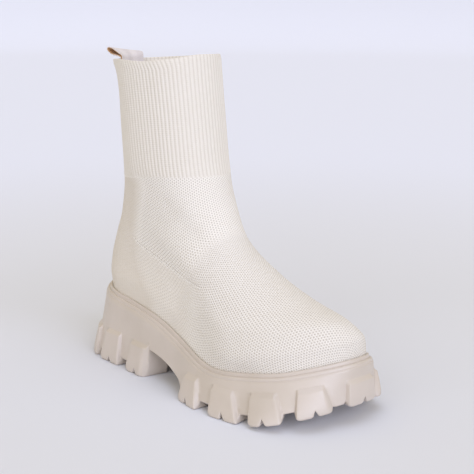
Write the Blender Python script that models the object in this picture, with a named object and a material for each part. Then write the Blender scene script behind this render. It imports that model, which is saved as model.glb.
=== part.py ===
"""Knit slip-on boot for the right foot: moulded lug sole, knitted upper, insole and pull loop.

Sizes are millimetres in the last's own frame. A station runs forward from the back edge of the
heel, side is positive towards the big toe, and height starts at the ground. The objects are placed
in metres, with the origin on the ground under the middle of the boot.
"""

import bpy
import numpy as np

MM = 0.001
SHARP_ANGLE = np.radians(35)


def table(columns, *rows):
    """Named columns of numbers, given a row at a time."""
    return dict(zip(columns.split(), np.array(rows, float).T))


# Fits and thicknesses
GAP = 0.3
WALL = 2.2
INSOLE_THICKNESS = 4.0
INSOLE_EDGE_ROUND = 0.8

# Plan of the tread at the ground, over the lugs
GROUND = table(
    "station centre half",
    (0, 0, 0),
    (45, 0, 46.5),
    (115, -2, 46.5),
    (188, 0, 57.5),
    (233, 4, 54.5),
    (280, 16, 0),
)

# Plan of the feather edge, where the upper enters the sole
FEATHER = table(
    "station centre half",
    (14, 0, 0),
    (54, 0, 30.5),
    (115, -1, 31.5),
    (185, 0, 40.5),
    (218, 5, 38.5),
    (270, 20, 0),
)
TOE_BLUNTNESS = 2.2

# Height of the lip's top edge, from the raised heel over the ball to the toe
RIM = table(
    "station height",
    (14, 60),
    (98, 50.5),
    (140, 39.5),
    (185, 29.5),
    (232, 35.5),
    (280, 50),
)
SPRING_START = 215.0
SPRING_HEIGHT = 14.5

# Lip and ledge around the top of the sole: distance out from the feather edge, drop below the rim
LIP_HEIGHT = 4.6
LIP = table(
    "out drop",
    (GAP, LIP_HEIGHT),
    (GAP, 0.5),
    (0.9, 0),
    (2.2, 0.4),
    (3.0, LIP_HEIGHT - 0.5),
    (4.4, LIP_HEIGHT),
    (5.4, LIP_HEIGHT + 1.2),
)

# Lugs of the lateral edge, as runs of tread edge from the middle of the heel's back. The first and
# the last stand astride the centre line, and the medial edge has the same lugs.
LUGS = table(
    "start notch end height",
    (-20, 0, 20, 25),
    (26.5, 41, 61.5, 25.5),
    (68, 83, 99.5, 26.5),
    (106, 121, 137.5, 25),
    (185.5, 199, 217, 20.5),
    (223.5, 238, 256, 20),
    (262, 274.5, 290.5, 21),
    (298, 311, 326, 21),
    (337, 351, 365, 19.5),
)
LUG_TAPER = 4.6
LUG_FLANK = 1.4
LUG_DEPTH = 15.0
LUG_ROOT = 1.5
NOTCH_HALF_WIDTH = 2.0
NOTCH_HEIGHT = 5.0

# Face of a lug from its shoulder to its inner edge: inset from the tread outline, height, or depth
# below the lug's top where that is negative, share of the taper, and share of the notch's height
LUG_FACE = table(
    "inset height taper notch",
    (3.4, -3.2, 1.0, 0.0),
    (0.0, 5.6, 0.12, 0.3),
    (0.6, 1.8, 0.0, 0.75),
    (2.4, 0.0, 0.05, 1.0),
    (LUG_DEPTH, 0.0, 0.2, 1.0),
)

# Sidewall between the lugs: inset of its bottom edge from the tread outline, height of that edge,
# and the heights above it of the rows that lie beside a lug's top and face
SIDEWALL_INSET = 5.2
TREAD_CEILING = 7.0
SIDEWALL_ROWS = (7.5, 5.0, 2.5, 1.0)

# Arch between the heel breast and the forefoot: height of the underside
ARCH = table(
    "station height",
    (104, 23),
    (118, 21),
    (130, 18),
    (142, 14),
    (149, 11),
    (155, TREAD_CEILING),
)
ARCH_COLUMNS = 6

# Upper: rings from just above the lip to the collar. Each leans from the back of the leg to the
# front, and has half widths at heel, middle and front, and the shares of its length that are round.
RINGS = table(
    "back back_height front front_height heel middle fore heel_round front_round",
    (13.0, 73, 269.5, 57.5, 31.0, 32.5, 42.0, 0.15, 0.27),
    (13.8, 86.5, 259.0, 69.5, 29.5, 31.0, 38.5, 0.16, 0.31),
    (17.5, 98, 231.5, 78.5, 29.0, 29.8, 34.2, 0.18, 0.33),
    (22.5, 110, 199.0, 91, 29.2, 29.5, 31.6, 0.22, 0.34),
    (29.5, 125, 162.5, 116, 30.2, 31.0, 29.8, 0.30, 0.38),
    (36.0, 149.5, 141.0, 154, 33.0, 34.8, 33.0, 0.40, 0.42),
    (36.0, 164, 136.5, 169.5, 34.5, 37.0, 35.0, 0.45, 0.45),
    (32.5, 207, 130.5, 210.5, 35.6, 38.0, 36.0, 0.48, 0.48),
    (25.8, 246.7, 125.0, 254, 35.6, 38.0, 36.5, 0.48, 0.48),
)
RING_WIDTH_SHARES = (0, 0.2, 0.45, 0.74, 1)
RINGS_SHAPED_BY_THE_SOLE = 4
RING_COLUMNS = 64
RING_LEVELS = 25
LIP_CLEARANCE = 0.6

# Pull loop: one tape folded in two, with both ends inside the back of the collar
TAPE_WIDTH = 23.0
TAPE_CENTRE = -3.0
TAPE_THICKNESS = 1.2
TAPE_TAB = 12.0
TAPE_LOOP = 18.0
TAPE_LOOP_MEDIAL = 9.0
TAPE_LEAN = np.radians(70)
TAPE_BEND = 5.0
TAPE_LEG_GAP = 0.4
TAPE_OPENING = 7.0
TAPE_CLEARANCE = 0.9
TAPE_LIFT = 0.9
LEGS_PART = 0.3
LEGS_PART_AT = 0.25
FOLD_START = 0.7
COLLAR_LEAN = np.arctan2(RINGS["back"][-2] - RINGS["back"][-1], np.ptp(RINGS["back_height"][-2:]))
TAPE_ROWS = 13
TAPE_COLUMNS = 7


def smooth(x, knots, values):
    """Monotone cubic curve through values, or through arrays of values, at increasing knots."""
    knots = np.asarray(knots, float)
    values = np.asarray(values, float)
    x = np.clip(np.asarray(x, float), knots[0], knots[-1])
    spread = (1,) * (values.ndim - 1)
    slope = np.diff(values, axis=0) / np.diff(knots).reshape((-1, *spread))
    before, after = slope[:-1], slope[1:]
    steady = before * after > 0
    mean = np.where(steady, 2 * before * after / np.where(steady, before + after, 1), 0)
    tangent = np.concatenate([slope[:1], mean, slope[-1:]])
    piece = np.clip(np.searchsorted(knots, x, side="right") - 1, 0, len(knots) - 2)
    step = np.diff(knots)[piece].reshape((*x.shape, *spread))
    u = (x - knots[piece]).reshape(step.shape) / step
    start = (1 + 2 * u) * (1 - u) ** 2 * values[piece] + u * (1 - u) ** 2 * step * tangent[piece]
    end = u**2 * (3 - 2 * u) * values[piece + 1] - u**2 * (1 - u) * step * tangent[piece + 1]
    return start + end


def round_ends(share, heel, toe):
    """Width factor along an outline that closes in a round heel and a blunt toe."""
    back = np.clip(share / heel, 0, 1)
    front = np.clip((1 - share) / toe, 0, 1)
    return np.sqrt(1 - (1 - back) ** 2) * np.sqrt(1 - (1 - front) ** TOE_BLUNTNESS)


def share_at(angle):
    """Share of an outline's length at an angle: 0 at the heel, 1 at the toe, where angle is pi."""
    return (1 - np.cos(angle)) / 2


def side_at(angle):
    """Side of an outline at an angle: the lateral half first, then back along the medial half."""
    return -np.sign(np.sin(angle))


def edge(plan, angle):
    """Points of a plan outline."""
    station = plan["station"]
    length = station[-1] - station[0]
    share = share_at(angle)
    at = station[0] + length * share
    ends = round_ends(share, (station[1] - station[0]) / length, (station[-1] - station[-2]) / length)
    half = smooth(at, station[1:-1], plan["half"][1:-1]) * ends
    return np.stack([at, smooth(at, station, plan["centre"]) + side_at(angle) * half], -1)


def offset_edge(plan, angle, out):
    """Points at a distance out from a plan outline, along its normal."""
    nudge = 0.002
    along = edge(plan, angle + nudge) - edge(plan, angle - nudge)
    normal = np.stack([along[..., 1], -along[..., 0]], -1)
    return edge(plan, angle) + out * normal / np.linalg.norm(normal, axis=-1, keepdims=True)


def at_height(points, height):
    """Plan points lifted to a height."""
    return np.concatenate([points, np.broadcast_to(height, points.shape[:-1])[..., None]], -1)


def rim_height(angle):
    """Height of the lip's top edge beside a point of the feather edge."""
    return smooth(edge(FEATHER, angle)[..., 0], RIM["station"], RIM["height"])


def toe_spring(angle):
    """Rise of the tread towards the toe."""
    reach = (edge(GROUND, angle)[..., 0] - SPRING_START) / (GROUND["station"][-1] - SPRING_START)
    return SPRING_HEIGHT * np.clip(reach, 0, 1) ** 2


def underside_height(angle):
    """Height of the sole's underside between the lugs, with the arch."""
    station = edge(GROUND, angle)[..., 0]
    arch = smooth(station, ARCH["station"], ARCH["height"])
    return toe_spring(angle) + np.where(station < ARCH["station"][0], TREAD_CEILING, arch)


def sidewall(angle, height):
    """Point of the sidewall, a straight flare from the ledge down to the tread, at a height."""
    top = offset_edge(FEATHER, angle, LIP["out"][-1])
    top_height = rim_height(angle) - LIP["drop"][-1]
    bottom = offset_edge(GROUND, angle, -SIDEWALL_INSET)
    bottom_height = toe_spring(angle) + TREAD_CEILING
    share = (height - bottom_height) / (top_height - bottom_height)
    return at_height(bottom + (top - bottom) * share, height)


def edge_angles():
    """Function from a run along the lateral tread edge to its angle, and the run at the toe."""
    angle = np.linspace(0, np.pi, 4001)
    steps = np.linalg.norm(np.diff(edge(GROUND, angle), axis=0), axis=1)
    run = np.concatenate([[0], np.cumsum(steps)])
    return lambda distance: np.interp(distance, run, angle), run[-1]


def sole_columns(toe_run):
    """Columns of the sole's lateral half: run, pull of the taper, height of the lug, and kind."""
    columns = []
    for start, notch, end, height in zip(*LUGS.values()):
        notch = min(notch, toe_run)
        notch_start, notch_end = notch - NOTCH_HALF_WIDTH, notch + NOTCH_HALF_WIDTH
        columns += [
            (start - LUG_FLANK, LUG_TAPER, height, "wall"),
            (start, LUG_TAPER, height, "lug"),
            ((start + notch_start) / 2, LUG_TAPER / 2, height, "lug"),
            (notch_start, 0, height, "lug"),
            (notch, 0, height, "notch"),
            (notch_end, 0, height, "lug"),
            ((notch_end + end) / 2, -LUG_TAPER / 2, height, "lug"),
            (end, -LUG_TAPER, height, "lug"),
            (end + LUG_FLANK, -LUG_TAPER, height, "wall"),
        ]
    runs = [column[0] for column in columns]
    widest_gap = int(np.argmax(np.diff(runs)))
    arch_runs = np.linspace(runs[widest_gap], runs[widest_gap + 1], ARCH_COLUMNS + 2)[1:-1]
    columns += [(run, 0, columns[widest_gap][2], "wall") for run in arch_runs]
    return sorted(column for column in columns if 0 <= column[0] <= toe_run)


def sole_column(column, angle_of, turn):
    """Points of one column from the deck's edge over the lip and down to the underside.

    The turn maps an angle of the lateral half to the half being built.
    """
    run, pull, lug_height, kind = column
    lip = turn(angle_of(run))
    points = [
        at_height(offset_edge(FEATHER, lip, out), rim_height(lip) - drop)
        for out, drop in zip(LIP["out"], LIP["drop"])
    ]
    ledge = points[-1][2]
    top = turn(angle_of(run + pull))
    lug_top = lug_height + toe_spring(top)
    floor = underside_height(top)
    points.append(sidewall(top, min(max(lug_top, floor + SIDEWALL_ROWS[0]), ledge - LUG_ROOT)))
    for row, (inset, height, taper, notch) in enumerate(zip(*LUG_FACE.values())):
        angle = turn(angle_of(run + pull * taper))
        floor = underside_height(angle)
        if kind == "wall" and row < len(SIDEWALL_ROWS) - 1:
            points.append(sidewall(angle, floor + SIDEWALL_ROWS[row + 1]))
            continue
        if kind == "wall":
            points.append(at_height(offset_edge(GROUND, angle, -max(inset, SIDEWALL_INSET + 1)), floor))
            continue
        above = height if height >= 0 else lug_height + height
        rise = notch * NOTCH_HEIGHT if kind == "notch" else 0
        points.append(at_height(offset_edge(GROUND, angle, -inset), toe_spring(angle) + above + rise))
    angle = turn(angle_of(run + pull * LUG_FACE["taper"][-1]))
    floor = underside_height(angle) if kind == "wall" else toe_spring(angle) + TREAD_CEILING
    points.append(at_height(offset_edge(GROUND, angle, -LUG_DEPTH - LUG_ROOT), floor))
    return points


def sole_grid():
    """Levels of the sole, each a ring of points: lateral half heel to toe, then medial half back."""
    angle_of, toe_run = edge_angles()
    columns = sole_columns(toe_run)
    lateral = [sole_column(column, angle_of, lambda angle: angle) for column in columns]
    medial = [sole_column(column, angle_of, lambda angle: 2 * np.pi - angle) for column in columns[1:-1]]
    return np.array(lateral + medial[::-1]).swapaxes(0, 1)


def insole_grid():
    """Levels of the insole, from its top edge to its bottom edge."""
    angle = np.arange(RING_COLUMNS) * 2 * np.pi / RING_COLUMNS
    outer = WALL + GAP
    bottom = rim_height(angle) - LIP_HEIGHT + GAP
    return np.array([
        at_height(offset_edge(FEATHER, angle, -outer - INSOLE_EDGE_ROUND), bottom + INSOLE_THICKNESS),
        at_height(offset_edge(FEATHER, angle, -outer), bottom + INSOLE_THICKNESS - INSOLE_EDGE_ROUND),
        at_height(offset_edge(FEATHER, angle, -outer), bottom),
    ])


def upper_sections(angle):
    """Rings of the upper's outer surface: inside the lip, just above it, then the table's rings."""
    share = share_at(angle)
    seat = offset_edge(FEATHER, angle, 0)
    rim = rim_height(angle)
    sections = [at_height(seat, rim - LIP_HEIGHT + GAP), at_height(seat, rim + LIP_CLEARANCE)]
    heel_rim, toe_rim = rim_height(0.0), rim_height(np.pi)
    deck_dip = heel_rim + (toe_rim - heel_rim) * share - rim
    toe_swing = smooth(seat[..., 0], FEATHER["station"], FEATHER["centre"])
    for number, ring in enumerate(zip(*RINGS.values())):
        back, back_height, front, front_height, heel, middle, fore, heel_round, front_round = ring
        follow = max(1 - number / RINGS_SHAPED_BY_THE_SOLE, 0)
        half = smooth(share, RING_WIDTH_SHARES, (heel, heel, middle, fore, fore))
        side = side_at(angle) * half * round_ends(share, heel_round, front_round) + follow * toe_swing
        height = back_height + (front_height - back_height) * share - follow * deck_dip
        sections.append(np.stack([back + (front - back) * share, side, height], -1))
    return np.array(sections)


def upper_surface(levels, angle):
    """Outer surface of the upper at levels counted in sections, and its outward normals."""
    sections = upper_sections(angle)
    points = smooth(levels, np.arange(len(sections)), sections)
    around = np.roll(points, -1, axis=1) - np.roll(points, 1, axis=1)
    upward = np.gradient(points, levels, axis=0)
    normal = np.cross(around, upward)
    return points, normal / np.linalg.norm(normal, axis=-1, keepdims=True)


def upper_grid():
    """Levels of the upper, down its outer face from the collar and up its inner face again."""
    angle = np.arange(RING_COLUMNS) * 2 * np.pi / RING_COLUMNS
    top = len(RINGS["back"]) + 1
    levels = np.concatenate([[0, 1], np.linspace(1, top, RING_LEVELS - 1)[1:]])
    outer, normal = upper_surface(levels, angle)
    flat_ends = normal[[0, 1, -1]] * (1, 1, 0)
    normal[[0, 1, -1]] = flat_ends / np.linalg.norm(flat_ends, axis=-1, keepdims=True)
    inner = outer - WALL * normal
    return np.concatenate([outer[::-1], inner])


def tape_path(loop, leg):
    """Points of the folded tape's middle line, along and up from where it passes the collar's edge.

    They run up the tab and out to the fold of a loop of the given length. The leg is 1 for the one
    against the collar and -1 for the other.
    """
    distance = (TAPE_TAB + loop) * np.sin(np.linspace(0, np.pi / 2, TAPE_ROWS))
    bend_end = TAPE_TAB + TAPE_BEND
    leans = (COLLAR_LEAN, COLLAR_LEAN, TAPE_LEAN, TAPE_LEAN)
    lean = smooth(distance, (0, TAPE_TAB, bend_end, bend_end + 1), leans)
    step = np.diff(distance, prepend=distance[0])
    forward = np.cumsum(-np.sin(lean) * step)
    upward = np.cumsum(np.cos(lean) * step)
    share = np.clip((distance - TAPE_TAB) / loop, 0, 1)
    closed = (TAPE_THICKNESS + TAPE_LEG_GAP) / 2
    halves = (closed, closed + LEGS_PART, TAPE_OPENING / 2, TAPE_OPENING / 2)
    opening = smooth(share, (0, LEGS_PART_AT, FOLD_START, 1), halves)
    fold = np.clip((share - FOLD_START) / (1 - FOLD_START), 0, 1)
    spread = leg * opening * np.sqrt(1 - fold**2)
    forward = forward - np.interp(TAPE_TAB, distance, forward) - np.cos(lean) * spread
    upward = upward - np.interp(TAPE_TAB, distance, upward) - np.sin(lean) * spread
    return np.stack([forward, upward], -1)


def tape_section(loop):
    """Outline of the folded tape's thickness, around from the end of one leg."""
    path = np.concatenate([tape_path(loop, 1), tape_path(loop, -1)[-2::-1]])
    along = np.gradient(path, axis=0)
    normal = np.stack([-along[:, 1], along[:, 0]], -1)
    normal = normal / np.linalg.norm(normal, axis=1, keepdims=True)
    face, back = path + normal * TAPE_THICKNESS / 2, path - normal * TAPE_THICKNESS / 2
    return np.concatenate([path[:1], face, path[-1:], back[::-1]])


def pull_loop_grid():
    """Levels of the pull loop, one outline of the tape for each place across it, medial side first."""
    back_of_collar = np.linspace(-0.6, 0.6, 241) % (2 * np.pi)
    collar = upper_sections(back_of_collar)[-1]
    collar = collar[np.argsort(collar[:, 1])]
    tape_middle = WALL + TAPE_CLEARANCE + TAPE_THICKNESS + TAPE_LEG_GAP / 2
    rings = []
    for share in np.linspace(0, 1, TAPE_COLUMNS):
        side = TAPE_CENTRE + TAPE_WIDTH * (0.5 - share)
        section = tape_section(TAPE_LOOP_MEDIAL + (TAPE_LOOP - TAPE_LOOP_MEDIAL) * share)
        forward = section[:, 0] + np.interp(side, collar[:, 1], collar[:, 0]) + tape_middle
        upward = section[:, 1] + np.interp(side, collar[:, 1], collar[:, 2]) + TAPE_LIFT
        rings.append(np.stack([forward, np.full(len(section), side), upward], -1))
    return np.array(rings)


def ring_faces(rings, columns, closed_rings=False):
    """Faces of a grid of rings whose points run around the body."""
    faces = []
    for ring in range(rings if closed_rings else rings - 1):
        below = (ring + 1) % rings
        for column in range(columns):
            after = (column + 1) % columns
            corners = ((ring, column), (below, column), (below, after), (ring, after))
            faces.append([r * columns + c for r, c in corners])
    return faces


def strip_faces(first, columns, facing_down):
    """Faces across a ring, from each point of its first half to the one opposite."""
    faces = []
    for column in range(columns // 2):
        corners = [column, column + 1, columns - column - 1, columns - column]
        corners = [first + corner % columns for corner in corners]
        corners = list(dict.fromkeys(corners))
        faces.append(corners[::-1] if facing_down else corners)
    return faces


def capped_body(grid):
    """Faces of rings that are closed across their first and last ring."""
    rings, columns = grid.shape[:2]
    sides = ring_faces(rings, columns)
    return sides + strip_faces(0, columns, False) + strip_faces((rings - 1) * columns, columns, True)


def finish(name, hex_colour, roughness):
    """Principled material of one colour."""
    material = bpy.data.materials.new(name)
    material.use_nodes = True
    channels = [int(hex_colour[place:place + 2], 16) / 255 for place in (0, 2, 4)]
    linear = [c / 12.92 if c <= 0.04045 else ((c + 0.055) / 1.055) ** 2.4 for c in channels]
    shader = material.node_tree.nodes["Principled BSDF"]
    shader.inputs["Base Color"].default_value = (*linear, 1)
    shader.inputs["Roughness"].default_value = roughness
    shader.inputs["Metallic"].default_value = 0
    return material


def add_piece(name, grid, faces, material, place):
    """One named object from a grid of points in millimetres, smooth but for its real edges."""
    mesh = bpy.data.meshes.new(name)
    mesh.from_pydata((grid.reshape(-1, 3) * MM).tolist(), [], faces)
    mesh.shade_smooth()
    mesh.set_sharp_from_angle(angle=SHARP_ANGLE)
    mesh.materials.append(material)
    piece = bpy.data.objects.new(name, mesh)
    piece.location = place
    bpy.context.scene.collection.objects.link(piece)


def main():
    """Clear the scene and build the boot."""
    for old in list(bpy.data.objects):
        bpy.data.objects.remove(old, do_unlink=True)
    sole, insole, upper, loop = sole_grid(), insole_grid(), upper_grid(), pull_loop_grid()
    low, high = sole.min((0, 1)), sole.max((0, 1))
    place = (-(low[0] + high[0]) / 2 * MM, -(low[1] + high[1]) / 2 * MM, -low[2] * MM)
    rubber = finish("moulded_sole_rubber", "cbbfb4", 0.45)
    knit = finish("cream_knit", "e8e0d6", 0.9)
    lining = finish("insole_lining", "e0d2c0", 0.85)
    tape = finish("woven_tape", "e6cdbd", 0.8)
    add_piece("sole", sole, capped_body(sole), rubber, place)
    add_piece("insole", insole, capped_body(insole), lining, place)
    add_piece("upper", upper, ring_faces(*upper.shape[:2], closed_rings=True), knit, place)
    add_piece("pull_loop", loop, capped_body(loop), tape, place)


main()
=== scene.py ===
"""Looks of the knit slip-on boot: moulded lug sole, knitted upper, footbed and pull loop.

Sizes are millimetres in the last's own frame, as in the part's source: station runs forward from the
back of the heel, side is positive towards the big toe, and height starts at the ground.
"""

import logging
import math
from collections.abc import Callable
from dataclasses import dataclass, replace
from enum import Enum

import bpy
import numpy as np
from mathutils import Matrix, Vector


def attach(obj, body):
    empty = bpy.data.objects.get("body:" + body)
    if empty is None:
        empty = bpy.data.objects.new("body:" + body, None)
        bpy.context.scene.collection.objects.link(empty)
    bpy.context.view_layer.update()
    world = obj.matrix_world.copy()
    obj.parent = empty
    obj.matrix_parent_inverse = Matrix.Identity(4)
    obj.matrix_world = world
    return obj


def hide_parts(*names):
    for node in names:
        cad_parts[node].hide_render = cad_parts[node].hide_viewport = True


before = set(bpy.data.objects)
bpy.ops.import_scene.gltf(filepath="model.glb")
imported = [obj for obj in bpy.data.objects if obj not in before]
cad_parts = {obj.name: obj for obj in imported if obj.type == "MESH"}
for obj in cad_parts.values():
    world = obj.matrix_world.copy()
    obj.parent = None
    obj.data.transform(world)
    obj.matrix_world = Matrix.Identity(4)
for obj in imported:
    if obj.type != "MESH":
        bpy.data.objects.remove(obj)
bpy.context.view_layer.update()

Array = np.ndarray
Link = bpy.types.NodeSocket
Surface = tuple[bpy.types.Material, bpy.types.NodeTree, bpy.types.Node]

# One millimetre in metres.
MM = 0.001
# The frame's origin, in the last's own frame.
ORIGIN = np.array((140.0, 0.936, 0.0))
# Distance within which points of a piece become one, in mm.
MERGE = 0.002
# Edges that turn further than this stay sharp.
SMOOTH_ANGLE = math.radians(50)
# Power that squares off a toe.
BLUNTNESS = 2.2
# Distance in mm that no stitch reaches.
FAR = 99.0

log = logging.getLogger("boot")


class Half(Enum):
    """Halves of an outline, on either side of the line from heel to toe."""

    LATERAL = "lateral"
    MEDIAL = "medial"

    def turn(self, angle: Array) -> Array:
        """Angle of this half for an angle of the lateral half."""
        return angle if self is Half.LATERAL else 2 * np.pi - angle


class Wave(Enum):
    """Waves of a pattern, by the height that they start from."""

    FROM_MIDDLE = "SINE"
    FROM_TOP = "COSINE"


def smooth(x: Array, knots: Array, values: Array) -> Array:
    """Evaluate a monotone cubic curve.

    Args:
        x: Places along the curve.
        knots: Increasing places of the given values.
        values: Values, or arrays of values, at the knots.

    Returns:
        The values at x.
    """
    knots = np.asarray(knots, float)
    values = np.asarray(values, float)
    x = np.clip(np.asarray(x, float), knots[0], knots[-1])
    spread = (1,) * (values.ndim - 1)
    slope = np.diff(values, axis=0) / np.diff(knots).reshape((-1, *spread))
    before, after = slope[:-1], slope[1:]
    steady = before * after > 0
    mean = np.where(steady, 2 * before * after / np.where(steady, before + after, 1), 0)
    tangent = np.concatenate([slope[:1], mean, slope[-1:]])
    piece = np.clip(np.searchsorted(knots, x, side="right") - 1, 0, len(knots) - 2)
    step = np.diff(knots)[piece].reshape((*x.shape, *spread))
    u = (x - knots[piece]).reshape(step.shape) / step
    start = (1 + 2 * u) * (1 - u) ** 2 * values[piece] + u * (1 - u) ** 2 * step * tangent[piece]
    end = u**2 * (3 - 2 * u) * values[piece + 1] - u**2 * (1 - u) * step * tangent[piece + 1]
    return start + end


def fade(x: Array, low: float, high: float) -> Array:
    """Soft step from 0 at low to 1 at high, which may be the smaller of the two."""
    share = np.clip((x - low) / (high - low), 0, 1)
    return share**2 * (3 - 2 * share)


def share_at(angle: Array) -> Array:
    """Share of an outline's length at an angle: 0 at the heel and 1 at the toe, where angle is pi."""
    return (1 - np.cos(angle)) / 2


def round_ends(share: Array, heel: float, toe: float, bluntness: float = BLUNTNESS) -> Array:
    """Width factor along an outline that closes in a round heel and a blunt toe.

    Args:
        share: Places along the outline.
        heel: Share of the length that is the round heel.
        toe: Share of the length that is the toe.
        bluntness: Power that squares off the toe.

    Returns:
        Share of the full width at those places.
    """
    back = np.clip(share / heel, 0, 1)
    front = np.clip((1 - share) / toe, 0, 1)
    return np.sqrt(1 - (1 - back) ** 2) * np.sqrt(1 - (1 - front) ** bluntness)


def side_step(share: Array, soft: float) -> Array:
    """Step from 0 to 1 over a share from 0 to 1: a flat side, with a round at its top end.

    Args:
        share: Places across the side.
        soft: Share of the side that is round.

    Returns:
        Height of the step.
    """
    return np.where(share < 1 - soft, share / (1 - soft / 2), 1 - (1 - share) ** 2 / (soft * (2 - soft)))


def lifted(points: Array, height: Array) -> Array:
    """Plan points lifted to a height."""
    return np.concatenate([points, np.broadcast_to(height, points.shape[:-1])[..., None]], -1)


def unit(vectors: Array) -> Array:
    """Vectors of length one."""
    return vectors / np.maximum(np.linalg.norm(vectors, axis=-1, keepdims=True), 1e-9)


def length_along(points: Array, axis: int = 0) -> Array:
    """Lengths along lines of points from their first points.

    Args:
        points: Points of one line, or of a sheet.
        axis: Axis that the lines run along.

    Returns:
        Length at each point.
    """
    steps = np.linalg.norm(np.diff(points, axis=axis), axis=-1)
    return np.concatenate([np.zeros_like(steps.take([0], axis)), np.cumsum(steps, axis)], axis)


def rounded(corners: Array, radii: tuple[float, ...], steps: int = 4) -> Array:
    """Round the corners of many profiles at once.

    Args:
        corners: Corner points, corner by column by coordinate.
        radii: Length taken off each side of every corner but the first and the last.
        steps: Pieces of each round.

    Returns:
        Points of the rounded profiles, row by column by coordinate.
    """
    rows = [corners[0]]
    for place, radius in enumerate(radii, start=1):
        corner = corners[place]
        arms = []
        for neighbour in (corners[place - 1], corners[place + 1]):
            arm = neighbour - corner
            length = np.maximum(np.linalg.norm(arm, axis=-1, keepdims=True), 1e-6)
            arms.append(corner + arm * np.minimum(radius / length, 0.48))
        for t in np.linspace(0, 1, steps + 1):
            rows.append((1 - t) ** 2 * arms[0] + 2 * t * (1 - t) * corner + t**2 * arms[1])
    rows.append(corners[-1])
    return np.array(rows)


def lay(points: Array, slope: Array, start: Array, share: Array, rounds: int = 900) -> Array:
    """Find the field over a sheet that comes nearest to a wanted slope, by conjugate gradients.

    Args:
        points: Points of the sheet, row by column by coordinate.
        slope: Wanted direction and rate of growth at each point.
        start: First guess of the field.
        share: How much the slope matters at each point.
        rounds: Steps of the search.

    Returns:
        The field, row by column.
    """
    steps = [np.diff(points, axis=axis) for axis in (0, 1)]
    size = [np.linalg.norm(step, axis=-1) + 1e-6 for step in steps]
    shares = [(share[1:] + share[:-1]) / 2, (share[:, 1:] + share[:, :-1]) / 2]
    beside = [np.mean(size[1]), np.mean(size[0])]
    weight = [shares[axis] * beside[axis] / size[axis] for axis in (0, 1)]
    slopes = [(slope[1:] + slope[:-1]) / 2, (slope[:, 1:] + slope[:, :-1]) / 2]

    def gather(flows: list[Array]) -> Array:
        """Sum of the flows into each point."""
        total = np.zeros(points.shape[:2])
        total[1:] += flows[0]
        total[:-1] -= flows[0]
        total[:, 1:] += flows[1]
        total[:, :-1] -= flows[1]
        return total

    def spread(field: Array) -> Array:
        """Sum of the weighted differences at each point."""
        return gather([weight[axis] * np.diff(field, axis=axis) for axis in (0, 1)])

    field = start.copy()
    wanted = [weight[axis] * (steps[axis] * slopes[axis]).sum(-1) for axis in (0, 1)]
    rest = gather(wanted) - spread(field)
    way, power = rest, (rest**2).sum()
    for _ in range(rounds):
        moved = spread(way)
        reach = power / (way * moved).sum()
        field = field + reach * way
        rest = rest - reach * moved
        power, before = (rest**2).sum(), power
        way = rest + power / before * way
    log.info("knit flow: rest %.4f", math.sqrt(power / rest.size))
    return field


def form_grid(name: str, points: Array, uv: Array, marks: dict[str, Array]) -> bpy.types.Object:
    """Add a grid, form it over given points and close it where its edges meet.

    Args:
        name: Name of the piece.
        points: Points in the last's frame, row by column by coordinate.
        uv: Pattern coordinates in mm, row by column by two.
        marks: Named numbers for the material, each row by column.

    Returns:
        The piece, with its place in its mesh.
    """
    rows, columns = points.shape[:2]
    bpy.ops.object.select_all(action="DESELECT")
    bpy.ops.mesh.primitive_grid_add(x_subdivisions=columns - 1, y_subdivisions=rows - 1, size=1)
    piece = bpy.context.object
    piece.name = name
    mesh = piece.data
    mesh.name = name
    mesh.vertices.foreach_set("co", ((points - ORIGIN) * MM).astype(np.float32).ravel())
    corners = np.empty(len(mesh.loops), np.int32)
    mesh.loops.foreach_get("vertex_index", corners)
    layer = mesh.uv_layers.active
    layer.name = "pattern"
    layer.data.foreach_set("uv", uv.reshape(-1, 2)[corners].astype(np.float32).ravel())
    for mark, values in marks.items():
        attribute = mesh.attributes.new(mark, "FLOAT", "POINT")
        attribute.data.foreach_set("value", values.astype(np.float32).ravel())
    mesh.update()
    bpy.ops.object.mode_set(mode="EDIT")
    bpy.ops.mesh.select_all(action="SELECT")
    bpy.ops.mesh.remove_doubles(threshold=MERGE * MM)
    bpy.ops.mesh.normals_make_consistent(inside=False)
    bpy.ops.object.mode_set(mode="OBJECT")
    bpy.ops.object.shade_smooth_by_angle(angle=SMOOTH_ANGLE)
    return piece


def seat(piece: bpy.types.Object, material: bpy.types.Material, node: str) -> None:
    """Dress a piece, and let it ride on the boot in place of a CAD node.

    Args:
        piece: The finished piece.
        material: Its finish.
        node: CAD node that it stands for.
    """
    piece.data.materials.clear()
    piece.data.materials.append(material)
    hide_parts(node)
    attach(piece, "root")
    log.info("%s: %d faces", piece.name, len(piece.data.polygons))


def linear(hex_colour: str) -> tuple[float, float, float, float]:
    """Linear colour of an sRGB hex value."""
    channels = [int(hex_colour[place : place + 2], 16) / 255 for place in (0, 2, 4)]
    return (*(c / 12.92 if c <= 0.04045 else ((c + 0.055) / 1.055) ** 2.4 for c in channels), 1.0)


def add_node(
    tree: bpy.types.NodeTree,
    kind: str,
    inputs: dict[int | str, object] | None = None,
    output: int | str = 0,
    **settings: object,
) -> Link:
    """Add a node with its settings and links.

    Args:
        tree: Node tree that gets it.
        kind: Blender's name for the kind of node, after ShaderNode.
        inputs: Values or sockets by input.
        output: Output to give back.
        **settings: Properties of the node.

    Returns:
        The chosen output's socket.
    """
    node = tree.nodes.new("ShaderNode" + kind)
    for setting, value in settings.items():
        setattr(node, setting, value)
    for name, value in (inputs or {}).items():
        if isinstance(value, Link):
            tree.links.new(value, node.inputs[name])
        else:
            node.inputs[name].default_value = value
    return node.outputs[output]


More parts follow.
